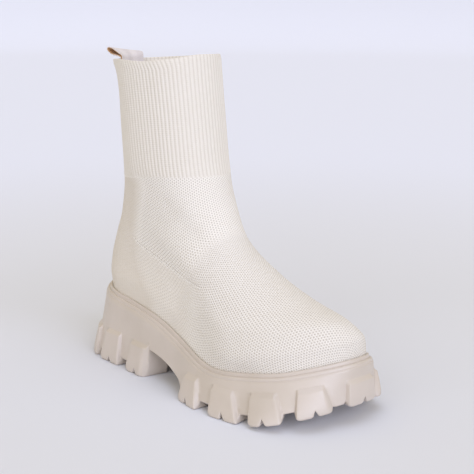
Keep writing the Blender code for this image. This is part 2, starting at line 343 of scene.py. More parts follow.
def add_wave(
    tree: bpy.types.NodeTree, length: Link, pitch: float, form: Wave = Wave.FROM_MIDDLE
) -> Link:
    """Add a wave along a length.

    Args:
        tree: Node tree that gets it.
        length: The length.
        pitch: Length of one wave, in the same unit.
        form: Where the wave starts.

    Returns:
        The wave, from -1 to 1.
    """
    turn = add_node(tree, "Math", {0: length, 1: 2 * math.pi / pitch}, operation="MULTIPLY")
    return add_node(tree, "Math", {0: turn}, operation=form.value)


def new_finish(name: str, **values: object) -> Surface:
    """Start a material.

    Args:
        name: Name of the finish.
        **values: Constant inputs of its shader, with _ for spaces.

    Returns:
        The material, its tree and its shader.
    """
    material = bpy.data.materials.new(name)
    material.use_nodes = True
    tree = material.node_tree
    shader = tree.nodes["Principled BSDF"]
    for socket, value in values.items():
        shader.inputs[socket.replace("_", " ")].default_value = value
    return material, tree, shader


def paint(surface: Surface, base: str, layers: tuple[tuple[Link, str], ...]) -> None:
    """Lay colours over one another on a material.

    Args:
        surface: The material, its tree and its shader.
        base: Colour underneath.
        layers: Further colours in order, each after the share of it that shows.
    """
    _, tree, shader = surface
    colour = linear(base)
    for share, over in layers:
        mix = {0: share, 6: colour, 7: linear(over)}
        colour = add_node(tree, "Mix", mix, output=2, data_type="RGBA")
    tree.links.new(colour, shader.inputs["Base Color"])


@dataclass(frozen=True)
class Outline:
    """Plan outline of the last.

    Attributes:
        rows: Station, centre and half width of each section.
        bluntness: Power that squares off the toe.
    """

    rows: tuple[tuple[float, float, float], ...]
    bluntness: float = BLUNTNESS

    def column(self, number: int) -> Array:
        """One column of the rows."""
        return np.array(self.rows)[:, number]

    def station(self, angle: Array) -> Array:
        """Stations at angles round the outline."""
        first, last = self.rows[0][0], self.rows[-1][0]
        return first + (last - first) * share_at(angle)

    def spine(self, angle: Array) -> Array:
        """Points of the middle line beside angles round the outline."""
        at = self.station(angle)
        return np.stack([at, smooth(at, self.column(0), self.column(1))], -1)

    def edge(self, angle: Array) -> Array:
        """Points of the outline."""
        stations = self.column(0)
        shares = np.diff(stations) / (stations[-1] - stations[0])
        ends = round_ends(share_at(angle), shares[0], shares[-1], self.bluntness)
        points = self.spine(angle)
        half = smooth(points[..., 0], stations[1:-1], self.column(2)[1:-1]) * ends
        points[..., 1] -= np.sign(np.sin(angle)) * half
        return points

    def offset(self, angle: Array, out: float | Array) -> Array:
        """Points at a distance out from the outline, along its normal."""
        nudge = 0.002
        along = self.edge(angle + nudge) - self.edge(angle - nudge)
        return self.edge(angle) + out * unit(np.stack([along[..., 1], -along[..., 0]], -1))


@dataclass(frozen=True)
class Last:
    """Form that the boot is made on, with the lines where upper, footbed and sole meet.

    Attributes:
        ground: Outline of the tread, over the lugs.
        feather: Outline where the upper enters the sole.
        rim: Station and height of the sole's top edge.
        tread: Height of the sidewall's lower edge between the lugs.
        underside_line: Station and height of the underside: heel, arch, forefoot and toe.
        spring_start: Station where the toe begins to rise.
        spring_height: Rise at the toe's tip.
        spring_power: Power of the rise along the toe.
        lip: Height of the lip that holds the upper.
        gap: Clearance between pieces.
        wall: Thickness of the knit.
        run_points: Points where the length of the tread edge is measured.
    """

    ground: Outline = Outline(
        ((0, 0, 0), (45, 0, 46.5), (115, -2, 46.5), (188, 0, 57.5), (233, 4, 54.5), (280, 16, 0))
    )
    feather: Outline = Outline(
        ((14, 0, 0), (54, 0, 30.5), (115, -1, 31.5), (185, 0, 40.5), (218, 5, 38.5), (270, 20, 0))
    )
    rim: tuple[tuple[float, float], ...] = (
        (14, 60), (98, 50.5), (140, 39.5), (185, 29.5), (232, 35.5), (280, 50)
    )
    tread: float = 5.6
    underside_line: tuple[tuple[float, float], ...] = (
        (0, 5.6), (98, 5.6), (98.5, 25), (104, 23.4), (118, 21), (130, 18), (142, 14), (149, 11),
        (155, 5.6), (264, 5.6), (274, 2.2), (280, 2.2)
    )
    spring_start: float = 215.0
    spring_height: float = 14.5
    spring_power: float = 1.7
    lip: float = 4.6
    gap: float = 0.3
    wall: float = 2.2
    run_points: int = 4001

    def rim_height(self, angle: Array) -> Array:
        """Height of the sole's top edge beside a point of the feather outline."""
        return smooth(self.feather.station(angle), *np.transpose(self.rim))

    def toe_spring(self, angle: Array) -> Array:
        """Rise of the tread towards the toe."""
        tip = self.ground.rows[-1][0]
        reach = (self.ground.station(angle) - self.spring_start) / (tip - self.spring_start)
        return self.spring_height * np.clip(reach, 0, 1) ** self.spring_power

    def underside(self, angle: Array) -> Array:
        """Height of the underside between the lugs, with the arch."""
        level = smooth(self.ground.station(angle), *np.transpose(self.underside_line))
        return self.toe_spring(angle) + level

    def tread_runs(self) -> tuple[Callable[[Array], Array], float]:
        """Measure the tread edge.

        Returns:
            Function from a run along the edge, past the toe too, to its angle, and the toe's run.
        """
        angle = np.linspace(0, np.pi, self.run_points)
        run = length_along(self.ground.edge(angle))
        runs = np.concatenate([run, 2 * run[-1] - run[-2::-1]])
        angles = np.concatenate([angle, 2 * np.pi - angle[-2::-1]])
        return lambda distance: np.interp(distance, runs, angles), run[-1]


@dataclass(frozen=True)
class MouldedRubber:
    """Foamed thermoplastic rubber from a matt steel mould.

    It has one even colour, a satin gloss, a fine mould grain and a faint cloudiness.

    Attributes:
        colour: Colour of the rubber.
        cloud: Colour of its clouds.
        cloud_size: Size of the clouds.
        cloud_levels: Levels of the noise where they begin and where they are full.
        cloud_share: Most that they show.
        grain_size: Size of the mould's grain, drawn as coarse as it needs to show.
        grain_depth: Depth of the grain.
        grain_levels: Levels of the noise in the grain's pits and on its tops.
        roughness: Roughness in the pits and on the tops.
    """

    colour: str = "ccc1b6"
    cloud: str = "c3b8ab"
    cloud_size: float = 34.0
    cloud_levels: tuple[float, float] = (0.35, 0.7)
    cloud_share: float = 0.7
    grain_size: float = 0.55
    grain_depth: float = 0.05
    grain_levels: tuple[float, float] = (0.3, 0.7)
    roughness: tuple[float, float] = (0.37, 0.5)

    def material(self) -> bpy.types.Material:
        """Make the finish."""
        material, tree, shader = surface = new_finish(
            "moulded_sole_rubber", Specular_IOR_Level=0.8, Coat_Weight=0.5, Coat_Roughness=0.42
        )
        place = add_node(tree, "TexCoord", output="Object")
        cloud, grain = (
            add_node(tree, "TexNoise", {"Vector": place, "Scale": 1 / (size * MM), "Detail": detail})
            for size, detail in ((self.cloud_size, 3.0), (self.grain_size, 2.0))
        )
        levels = dict(enumerate((cloud, *self.cloud_levels, 0.0, self.cloud_share)))
        cloudy = add_node(tree, "MapRange", levels, interpolation_type="SMOOTHSTEP")
        paint(surface, self.colour, ((cloudy, self.cloud),))
        levels = dict(enumerate((grain, *self.grain_levels, *self.roughness)))
        gloss = add_node(tree, "MapRange", levels)
        relief = {"Strength": 0.6, "Distance": self.grain_depth * MM, "Height": grain}
        bump = add_node(tree, "Bump", relief)
        tree.links.new(gloss, shader.inputs["Roughness"])
        tree.links.new(bump, shader.inputs["Normal"])
        return material


@dataclass(frozen=True)
class Lug:
    """One lug of the tread edge, as runs along it from the middle of the heel's back.

    Attributes:
        start: Its heel side, at the ground.
        notch: Its notch.
        end: Its toe side, at the ground.
        height: Height of its top.
        heel_lean: Run by which its heel side leans forward at the top.
        toe_lean: Run by which its toe side leans back at the top.
        toe_round: Run inside its toe side where its face begins to round off, at the ground.
        toe_round_at_top: The same at its top.
        toe_soft: Share of that run that is round; the rest is a flat side.
        toe_corner: Round of its bottom corner on that side.
    """

    start: float
    notch: float
    end: float
    height: float
    heel_lean: float
    toe_lean: float
    toe_round: float = 2.2
    toe_round_at_top: float = 1.6
    toe_soft: float = 0.5
    toe_corner: float = 3.0

    def moved(self, run: float) -> "Lug":
        """The same lug further along the edge."""
        return replace(self, start=self.start + run, notch=self.notch + run, end=self.end + run)

    def mirrored(self, toe_run: float) -> "Lug":
        """The same lug as runs along the other edge, for one that passes the toe's tip."""
        runs = (2 * toe_run - run for run in (self.end, self.notch, self.start))
        return Lug(*runs, self.height, self.toe_lean, self.heel_lean)


@dataclass(frozen=True)
class SoleUnit:
    """Moulded unit sole: lip, ledge bead, sidewall, edge lugs with notches, arch and underside.

    Attributes:
        last: Form of the boot.
        finish: Its rubber.
        lugs: Lugs of the lateral edge, the last past the toe's tip; the medial edge has the others too.
        lip_profile: Distance out from the feather line, drop below the rim, and round of each corner.
        medial_step: Run by which the medial edge's last lug lies further back, past the toe lug's end.
        heel_round: Run inside a lug's heel side where its face begins to round off.
        edge_outside: Run outside its sides where it meets the sidewall.
        edge_steps: Shares of that run where the side has columns.
        heel_soft: Share of a heel side's run that is round.
        low_soft: Least share of a toe side's run that is round, at the ground.
        stand: Distance that a lug's face stands out from the sidewall.
        stand_at_top: The same at the top of the face.
        chamfer: Drop of a lug's top chamfer.
        face_height: Height where the face begins to turn under.
        bottom_inset: Inset of its bottom edge.
        depth: Depth of a lug under the sole.
        root: Run of a lug's inner side.
        notch_half: Half the width of a lug's notch.
        notch_height: Height of the notch.
        notch_places: Columns of the notch, in halves of its width.
        mouth: Half width of the notch's rounded mouth, in the same halves.
        mouth_height: Height of that round.
        scallop: Round of a lug's bottom corner on its heel side.
        inset: Distance from the tread outline to the sidewall's bottom edge.
        lip_shares: Heights of the sidewall's rows from the lip down to a lug's top, as shares.
        wall_shares: Least heights of the sidewall's lines beside the face, as shares of its own height.
        radii: Rounds along those lines.
        top_rows: Rows of a lug's top chamfer, down to its face.
        upright: Power by which a lug's sides stand upright.
        least_lug: Least height of a lug over the underside.
        least_ledge: Least height of the ledge over a lug's top.
        least_face: Least height of the face's lowest line over its bottom.
        face_columns: Columns of a lug's face, on each side of its notch.
        gap_column: Width of a column between two lugs.
        least_columns: Least count of those columns, and one more.
        deck_shares: Rows of the deck, as shares from its middle to the lip.
        under_shares: Rows of the underside, as shares from the lugs to its middle.
    """

    last: Last
    finish: MouldedRubber
    lugs: tuple[Lug, ...] = (
        Lug(-20, 0, 20, 25, 5, 5),
        Lug(26.5, 40.3, 60, 25.5, 1, 8, 1.6, 1.2),
        Lug(67.5, 80.8, 94.8, 26.5, -1, 8.6, 1.8, 1.2),
        Lug(105.5, 118.7, 134, 25.5, -1.5, 8, 10, 5, 1.0, 4.0),
        Lug(184.5, 196.6, 212.5, 20.5, 2.5, 10, 3.4, 2.0, 0.5, 4.6),
        Lug(224, 238.5, 255, 20, -3.6, 14.5, 4.0, 3.4, 0.5, 4.8),
        Lug(261.3, 275, 292, 21, -4.5, 15.5, 5.0, 4.0, 0.5, 4.8),
        Lug(298.8, 314, 329, 21, -7, 16, 7.0, 5.0),
        Lug(338.7, 355, 370.5, 19.5, -4.2, 4),
    )
    lip_profile: tuple[tuple[float, float, float], ...] = (
        (0.3, 4.6, 0),
        (0.3, 0.1, 0.4),
        (1.9, 0.1, 0.8),
        (2.5, 2.3, 0.35),
        (2.45, 2.7, 0.3),
        (3.3, 2.5, 0.5),
        (4.3, 3.0, 0.8),
        (4.9, 4.6, 0.5),
        (4.75, 5.1, 0.3),
        (5.4, 5.5, 0.4),
    )
    medial_step: float = 5.0
    heel_round: float = 1.4
    edge_outside: float = 0.5
    edge_steps: tuple[float, ...] = (0, 0.06, 0.2, 0.4, 0.55, 0.65, 0.74, 0.83, 0.92, 1)
    heel_soft: float = 0.6
    low_soft: float = 0.8
    stand: float = 3.6
    stand_at_top: float = 2.8
    chamfer: float = 2.6
    face_height: float = 5.6
    bottom_inset: float = 0.6
    depth: float = 22.0
    root: float = 1.5
    notch_half: float = 1.9
    notch_height: float = 4.2
    notch_places: tuple[float, ...] = (-1.5, -1, -0.5, 0, 0.5, 1, 1.5)
    mouth: float = 2.0
    mouth_height: float = 0.8
    scallop: float = 4.2
    inset: float = 3.7
    lip_shares: tuple[float, ...] = (0.2, 0.4, 0.6, 0.8)
    wall_shares: tuple[float, ...] = (0.5, 0.35, 0.2, 0.0)
    radii: tuple[float, ...] = (0.6, 0.8, 0.5, 4.0, 2.0, 0.8)
    top_rows: int = 10
    upright: int = 14
    least_lug: float = 3.0
    least_ledge: float = 1.0
    least_face: float = 1.0
    face_columns: int = 4
    gap_column: float = 2.0
    least_columns: int = 3
    deck_shares: tuple[float, ...] = (0, 0.5, 0.9)
    under_shares: tuple[float, ...] = (0.3, 0.65, 1)

    def lug_columns(self, lug: Lug) -> list[tuple[float, ...]]:
        """Columns of one lug.

        Args:
            lug: The lug.

        Returns:
            Run, lean of the sides, lug height, shares of the lug at its top and at the ground, and lift
            of its bottom, of each column.
        """
        steps = np.array(self.edge_steps)
        first, last = lug.start - self.edge_outside, lug.end + self.edge_outside
        heel_edge, toe_edge = self.heel_round + self.edge_outside, lug.toe_round + self.edge_outside
        mouth = self.mouth * self.notch_half
        face = self.face_columns + 1
        runs = np.concatenate([
            first + heel_edge * steps,
            np.linspace(first + heel_edge, lug.notch - mouth, face)[1:],
            lug.notch + self.notch_half * np.array(self.notch_places),
            np.linspace(lug.notch + mouth, last - toe_edge, face)[:-1],
            (last - toe_edge * steps)[::-1],
        ])
        pull = np.interp(runs, (lug.start, lug.end), (lug.heel_lean, -lug.toe_lean))
        heel_side = side_step(np.clip((runs - first) / heel_edge, 0, 1), self.heel_soft)
        shares = []
        ends = ((lug.toe_round_at_top, lug.toe_soft), (lug.toe_round, max(lug.toe_soft, self.low_soft)))
        for reach, soft in ends:
            toe_side = side_step(np.clip((last - runs) / (reach + self.edge_outside), 0, 1), soft)
            shares.append(np.minimum(heel_side, toe_side))
        corner = np.zeros(len(runs))
        for reach, radius in ((runs - lug.start, self.scallop), (lug.end - runs, lug.toe_corner)):
            short = radius - np.clip(reach, 0, radius)
            corner = np.maximum(corner, radius - np.sqrt(radius**2 - short**2))
        aside = np.abs(runs - lug.notch) / self.notch_half
        slit = self.notch_height * np.clip(1 - aside, 0, 1)
        slit += self.mouth_height * np.clip(self.mouth - aside, 0, 1) ** 2
        return list(zip(runs, pull, np.full(len(runs), lug.height), *shares, np.maximum(corner, slit)))

    def columns(self, lugs: tuple[Lug, ...]) -> Array:
        """Columns of one half.

        Args:
            lugs: Its lugs.

        Returns:
            Run, lean of the sides, lug height, shares of the lug at its top and at the ground, and lift
            of its bottom.
        """
        found = [column for lug in lugs for column in self.lug_columns(lug)]
        for lug, after in zip(lugs, lugs[1:]):
            first, last = lug.end + self.edge_outside, after.start - self.edge_outside
            count = max(self.least_columns, round((last - first) / self.gap_column))
            for share in np.linspace(0, 1, count + 1)[1:-1]:
                height = lug.height + (after.height - lug.height) * share
                pull = after.heel_lean * share - lug.toe_lean * (1 - share)
                found.append((first + share * (last - first), pull, height, 0, 0, 0))
        return np.array(sorted(found)).T

    def sidewall(self, angle: Array, height: Array) -> Array:
        """Points of the sidewall, a straight flare from the ledge down to the tread, at heights."""
        last = self.last
        out, drop, _ = self.lip_profile[-1]
        top = last.feather.offset(angle, out)
        top_height = last.rim_height(angle) - drop
        bottom = last.ground.offset(angle, -self.inset)
        bottom_height = last.toe_spring(angle) + last.tread
        share = (height - bottom_height) / (top_height - bottom_height)
        return lifted(bottom + (top - bottom) * share[..., None], height)

    def lip_rows(self, angle: Array) -> Array:
        """Rows from the middle of the deck over the lip to the foot of the ledge bead.

        Args:
            angle: Angles of the columns.

        Returns:
            Points, row by column by coordinate.
        """
        last = self.last
        rim = last.rim_height(angle)
        lip = np.array([
            lifted(last.feather.offset(angle, out), rim - drop) for out, drop, _ in self.lip_profile
        ])
        deck = lifted(last.feather.spine(angle), rim - last.lip)
        deck_rows = [deck + (lip[0] - deck) * share for share in self.deck_shares]
        rounds = tuple(corner[2] for corner in self.lip_profile[1:-1])
        return np.concatenate([deck_rows, rounded(lip, rounds, steps=3)])

    def under_rows(self, half: Half, angle: Array, edge: Array) -> list[Array]:
        """Rows of the underside.

        Args:
            half: Half to build.
            angle: Angles of the columns.
            edge: Row at the inner ends of the lugs.

        Returns:
            Rows of points from there to the middle line, which stays inside that row.
        """
        ground = self.last.ground
        ends = (self.depth + self.root) / np.ptp(ground.column(0))
        middle = half.turn(np.arccos(1 - 2 * np.clip(share_at(angle), ends, 1 - ends)))
        under = lifted(ground.spine(middle), self.last.underside(middle))
        return [edge + (under - edge) * share for share in self.under_shares]

    def half_rows(self, half: Half, columns: Array, angle_of: Callable[[Array], Array]) -> Array:
        """Rows of one half, from the middle of the deck over the lip and down to the underside.

        Args:
            half: Half to build.
            columns: Its columns, as the method of that name gives them.
            angle_of: Function from a run to an angle.

        Returns:
            Points, row by column by coordinate.
        """
        last = self.last
        run, pull, lug_height, top_share, low_share, lift = columns

        def leant(share: float | Array) -> Array:
            """Angles of the columns at a share of their lean."""
            return half.turn(angle_of(run + pull * share))

        angle = leant(0)
        lip_rows = self.lip_rows(angle)
        top_angle = leant(1)
        ledge = last.rim_height(top_angle) - self.lip_profile[-1][1]
        top = np.maximum(
            lug_height + last.toe_spring(top_angle), last.underside(top_angle) + self.least_lug
        )
        top = np.minimum(top, ledge - self.least_ledge)
        shoulder = self.sidewall(top_angle, top)
        lip_height = lip_rows[-1][..., 2]
        under_lip = [
            self.sidewall(leant(share), lip_height + (top - lip_height) * share)
            for share in self.lip_shares
        ]

        spring = last.toe_spring(angle)
        floor = last.underside(angle)
        clear = floor - spring
        lug, wall = [under_lip[-1], shoulder], [under_lip[-1], shoulder]
        tall = top - last.toe_spring(top_angle)
        face_top = tall - self.chamfer
        face_low = np.maximum(self.face_height, lift + self.least_face)
        heights = (face_top, (face_top + face_low) / 2, face_low, lift)
        insets = (0, 0, 0, self.bottom_inset)
        for height, inset, wall_share in zip(heights, insets, self.wall_shares):
            at = leant(np.clip(height / tall, 0, 1))
            face = self.sidewall(at, last.toe_spring(at) + np.maximum(height, 0))
            low = np.clip((face_top - height) / (face_top - self.face_height), 0, 1)
            stand = self.stand_at_top + (self.stand - self.stand_at_top) * low - inset
            face[..., :2] += stand[..., None] * (last.ground.offset(at, 1) - last.ground.edge(at))
            lug.append(face)
            beside = clear + np.maximum(height - clear, (tall - clear) * wall_share)
            at = leant(np.clip(beside / tall, 0, 1))
            wall.append(self.sidewall(at, last.toe_spring(at) + beside))
        deep = last.ground.offset(angle, -self.depth)
        inner = last.ground.offset(angle, -self.depth - self.root)
        lug += [lifted(deep, spring + lift), lifted(inner, np.minimum(floor, spring + last.tread))]
        wall += [lifted(deep, floor), lifted(inner, floor)]
        lug_rows, wall_rows = (rounded(np.array(lines), self.radii) for lines in (lug, wall))
        is_low = np.arange(len(lug_rows)) > self.top_rows
        lug_share = np.where(is_low[:, None], low_share, top_share)
        upright = 1 - (1 - lug_share) ** self.upright
        edge = wall_rows + (lug_rows - wall_rows) * np.stack([lug_share, lug_share, upright], -1)
        under_rows = self.under_rows(half, angle, edge[-1])
        return np.concatenate([lip_rows, under_lip[:-1], edge, under_rows])

    def build(self) -> bpy.types.Object:
        """Form the sole and dress it."""
        angle_of, toe_run = self.last.tread_runs()
        beside_tip = (self.lugs[-2].moved(-self.medial_step), self.lugs[-1].mirrored(toe_run))
        tables = [self.columns(lugs) for lugs in (self.lugs, (*self.lugs[:-2], *beside_tip))]
        runs = np.unique(np.concatenate([[0, toe_run], *(table[0].round(2) for table in tables)]))
        runs = runs[(runs >= 0) & (runs <= toe_run)]
        lateral, medial = (
            self.half_rows(half, np.array([np.interp(runs, table[0], row) for row in table]), angle_of)
            for half, table in zip(Half, tables)
        )
        points = np.concatenate([lateral, medial[:, -2::-1]], axis=1)
        piece = form_grid("sole_unit", points, points[..., :2], {})
        seat(piece, self.finish.material(), "sole")
        return piece


@dataclass(frozen=True)
class KnitYarn:
    """Cream polyester yarn, flat-knitted: ribs on the shaft, an open pin-hole mesh on the foot.

    The eye gets a matt, slightly fuzzy surface with soft pin holes in staggered rows, dark with painted
    shade, painted shade in the narrow hollows between the ribs, and closer plain stitches round the
    heel, their tone partly painted shade.

    Attributes:
        yarn: Colour of the yarn.
        shade: Colour of its faint clouds.
        plain: Colour of the heel's close stitches, darker by painted shade.
        hole: Painted shade inside a hole.
        groove: Painted shade between two ribs.
        cloud_size: Size of the clouds.
        cloud_levels: Levels of the noise where they begin and where they are full.
        cloud_share: Most that they show.
        plain_levels: Shares of the mesh where the heel's own colour is full and where it ends.
        plain_share: Most that it shows.
        hole_shade_share: Most that a hole's painted shade shows.
        groove_shade_level: Height on a rib where the painted shade of its groove begins.
        groove_shade_shares: How much that painted shade shows on the ribs and between them.
        knits: Pitch across the knit, levels of its weave where a hole begins and where it is open, and
            how open it gets, at the ankle and on the foot.
        hole_rows: Pitch along the knit.
        wale: Strength of the lines between the holes.
        hole_depth: Depth of a hole.
        stitch: Height of a stitch.
        stitch_depth: Depth between two stitches.
        fuzz_size: Size of the yarn's fuzz.
        fuzz_depth: Height of the fuzz.
        dart_width: Half width of the heel's dart.
        dart_crest: Half width of its crest.
        dart_height: Height of the dart.
        dart_stitch: Length of the stitches that sew it.
        stitch_levels: Levels of their wave where a stitch begins and where it is full.
        stitch_least: Share of the sewing that shows between two stitches.
        sewing_widths: Half widths of that sewing, and of its full depth.
        prick_shade_share: Most that the painted shade in the sewing's pricks shows.
    """

    yarn: str = "f4f0e8"
    shade: str = "ece5db"
    # The heel's close knit: the yarn, in a darker tone that is painted shade.
    plain: str = "d3cabc"
    # Painted shade for the pin holes, and for the pricks of the dart's sewing.
    hole: str = "92877a"
    # Painted shade for the hollows between the ribs.
    groove: str = "d1cabe"
    cloud_size: float = 26.0
    cloud_levels: tuple[float, float] = (0.35, 0.75)
    cloud_share: float = 0.35
    plain_levels: tuple[float, float] = (0.2, 0.75)
    plain_share: float = 0.72
    hole_shade_share: float = 0.8
    groove_shade_level: float = 0.7
    groove_shade_shares: tuple[float, float] = (0.45, 0.9)
    knits: tuple[tuple[float, float, float, float], ...] = (
        (4.9, -0.8, 1.5, 0.72),
        (2.95, -1.2, 1.45, 0.76),
    )
    hole_rows: float = 2.1
    wale: float = 0.55
    hole_depth: float = 0.45
    stitch: float = 1.5
    stitch_depth: float = 0.12
    fuzz_size: float = 1.1
    fuzz_depth: float = 0.2
    dart_width: float = 0.8
    dart_crest: float = 0.15
    dart_height: float = 0.3
    dart_stitch: float = 2.6
    stitch_levels: tuple[float, float] = (-0.3, 0.7)
    stitch_least: float = 0.15
    sewing_widths: tuple[float, float] = (0.75, 0.2)
    prick_shade_share: float = 0.55

    def material(self) -> bpy.types.Material:
        """Make the finish."""
        material, tree, shader = surface = new_finish(
            "cream_knit", Roughness=0.92, Sheen_Weight=0.1, Sheen_Roughness=0.6, Specular_IOR_Level=0.25
        )
        place = add_node(tree, "TexCoord", output="Object")
        pattern = add_node(tree, "UVMap", uv_map="pattern")
        across, along = (add_node(tree, "SeparateXYZ", {0: pattern}, axis) for axis in ("X", "Y"))
        names = ("mesh_knit", "foot_knit", "ridge", "rib_zone", "dart", "dart_sewing", "dart_run")
        marks = {name: add_node(tree, "Attribute", output="Fac", attribute_name=name) for name in names}
        fuzz, cloud = (
            add_node(tree, "TexNoise", {"Vector": place, "Scale": 1 / (size * MM), "Detail": detail})
            for size, detail in ((self.fuzz_size, 3.0), (self.cloud_size, 4.0))
        )

        rows = add_wave(tree, along, self.hole_rows, Wave.FROM_TOP)
        pins = []
        for pitch, closed_at, open_at, most in self.knits:
            wave = add_wave(tree, across, pitch, Wave.FROM_TOP)
            squared = add_node(tree, "Math", {0: wave, 1: wave}, operation="MULTIPLY")
            columns = {0: squared, 1: 2 * self.wale, 2: -self.wale}
            wales = add_node(tree, "Math", columns, operation="MULTIPLY_ADD")
            lattice = add_node(tree, "Math", {0: wave, 1: rows, 2: wales}, operation="MULTIPLY_ADD")
            levels = {0: lattice, 1: closed_at, 2: open_at, 3: 0.0, 4: most}
            pins.append(add_node(tree, "MapRange", levels))
        pin = add_node(tree, "Mix", {0: marks["foot_knit"], 2: pins[0], 3: pins[1]})
        # Where the pin holes open, for their depth and their painted shade.
        hole = add_node(tree, "Math", {0: pin, 1: marks["mesh_knit"]}, operation="MULTIPLY")

        ridge = {0: marks["dart"], 1: self.dart_width, 2: self.dart_crest, 3: 0.0, 4: 1.0}
        dart = add_node(tree, "MapRange", ridge, interpolation_type="SMOOTHSTEP")
        sewn = add_wave(tree, marks["dart_run"], self.dart_stitch)
        closed = add_node(tree, "Math", {0: marks["mesh_knit"], 1: marks["rib_zone"]}, operation="ADD")
        ranges = (
            (marks["dart_sewing"], *self.sewing_widths, 0.0, 1.0),
            (sewn, *self.stitch_levels, self.stitch_least, 1.0),
            (cloud, *self.cloud_levels, 0.0, self.cloud_share),
            (closed, *self.plain_levels, self.plain_share, 0.0),
            (marks["ridge"], self.groove_shade_level, 0.0, *self.groove_shade_shares),
        )
        line, gaps, cloudy, plain, groove_shade = (
            add_node(tree, "MapRange", dict(enumerate(values))) for values in ranges
        )
        hole_shade, painted_grooves, pricks = (
            add_node(tree, "Math", {0: first, 1: second}, operation="MULTIPLY")
            for first, second in ((hole, self.hole_shade_share), (groove_shade, marks["rib_zone"]), (line, gaps))
        )
        # Painted shade in the needle pricks along the dart's sewing.
        sewing = add_node(tree, "Math", {0: pricks, 1: self.prick_shade_share}, operation="MULTIPLY")
        layers = (
            (cloudy, self.shade),
            # Closer stitches round the heel, their darker tone painted shade.
            (plain, self.plain),
            # Painted shade in the pin holes.
            (hole_shade, self.hole),
            # Painted shade in the hollows between the ribs.
            (painted_grooves, self.groove),
            (dart, self.yarn),
            # Painted shade in the needle pricks.
            (sewing, self.hole),
        )
        paint(surface, self.yarn, layers)

        height = 0.0
        stitch = add_wave(tree, along, self.stitch)
        reliefs = (
            (hole, -self.hole_depth),
            (dart, self.dart_height),
            (stitch, self.stitch_depth / 2),
            (fuzz, self.fuzz_depth),
        )
        for form, rise in reliefs:
            height = add_node(tree, "Math", {0: form, 1: rise, 2: height}, operation="MULTIPLY_ADD")
        bump = add_node(tree, "Bump", {"Strength": 0.8, "Distance": MM, "Height": height})
        tree.links.new(bump, shader.inputs["Normal"])
        return material


@dataclass(frozen=True)
class Crease:
    """Soft trough or ridge of the knit, placed by its middle and the same on both sides.

    Attributes:
        station: Middle along the boot.
        height: Middle above the ground.
        lean: Turn of its length from the horizontal, towards the toe, in degrees.
        length: Half length.
        width: Half width.
        depth: Depth, or height of a ridge where negative.
    """

    station: float
    height: float
    lean: float
    length: float
    width: float
    depth: float

    def press(self, points: Array) -> Array:
        """Depth pressed in at points of the upper."""
        turn = math.radians(self.lean)
        forward, upward = points[..., 0] - self.station, points[..., 2] - self.height
        along = (forward * math.cos(turn) + upward * math.sin(turn)) / self.length
        across = (upward * math.cos(turn) - forward * math.sin(turn)) / self.width
        return self.depth * np.exp(-(along**2) - across**2)


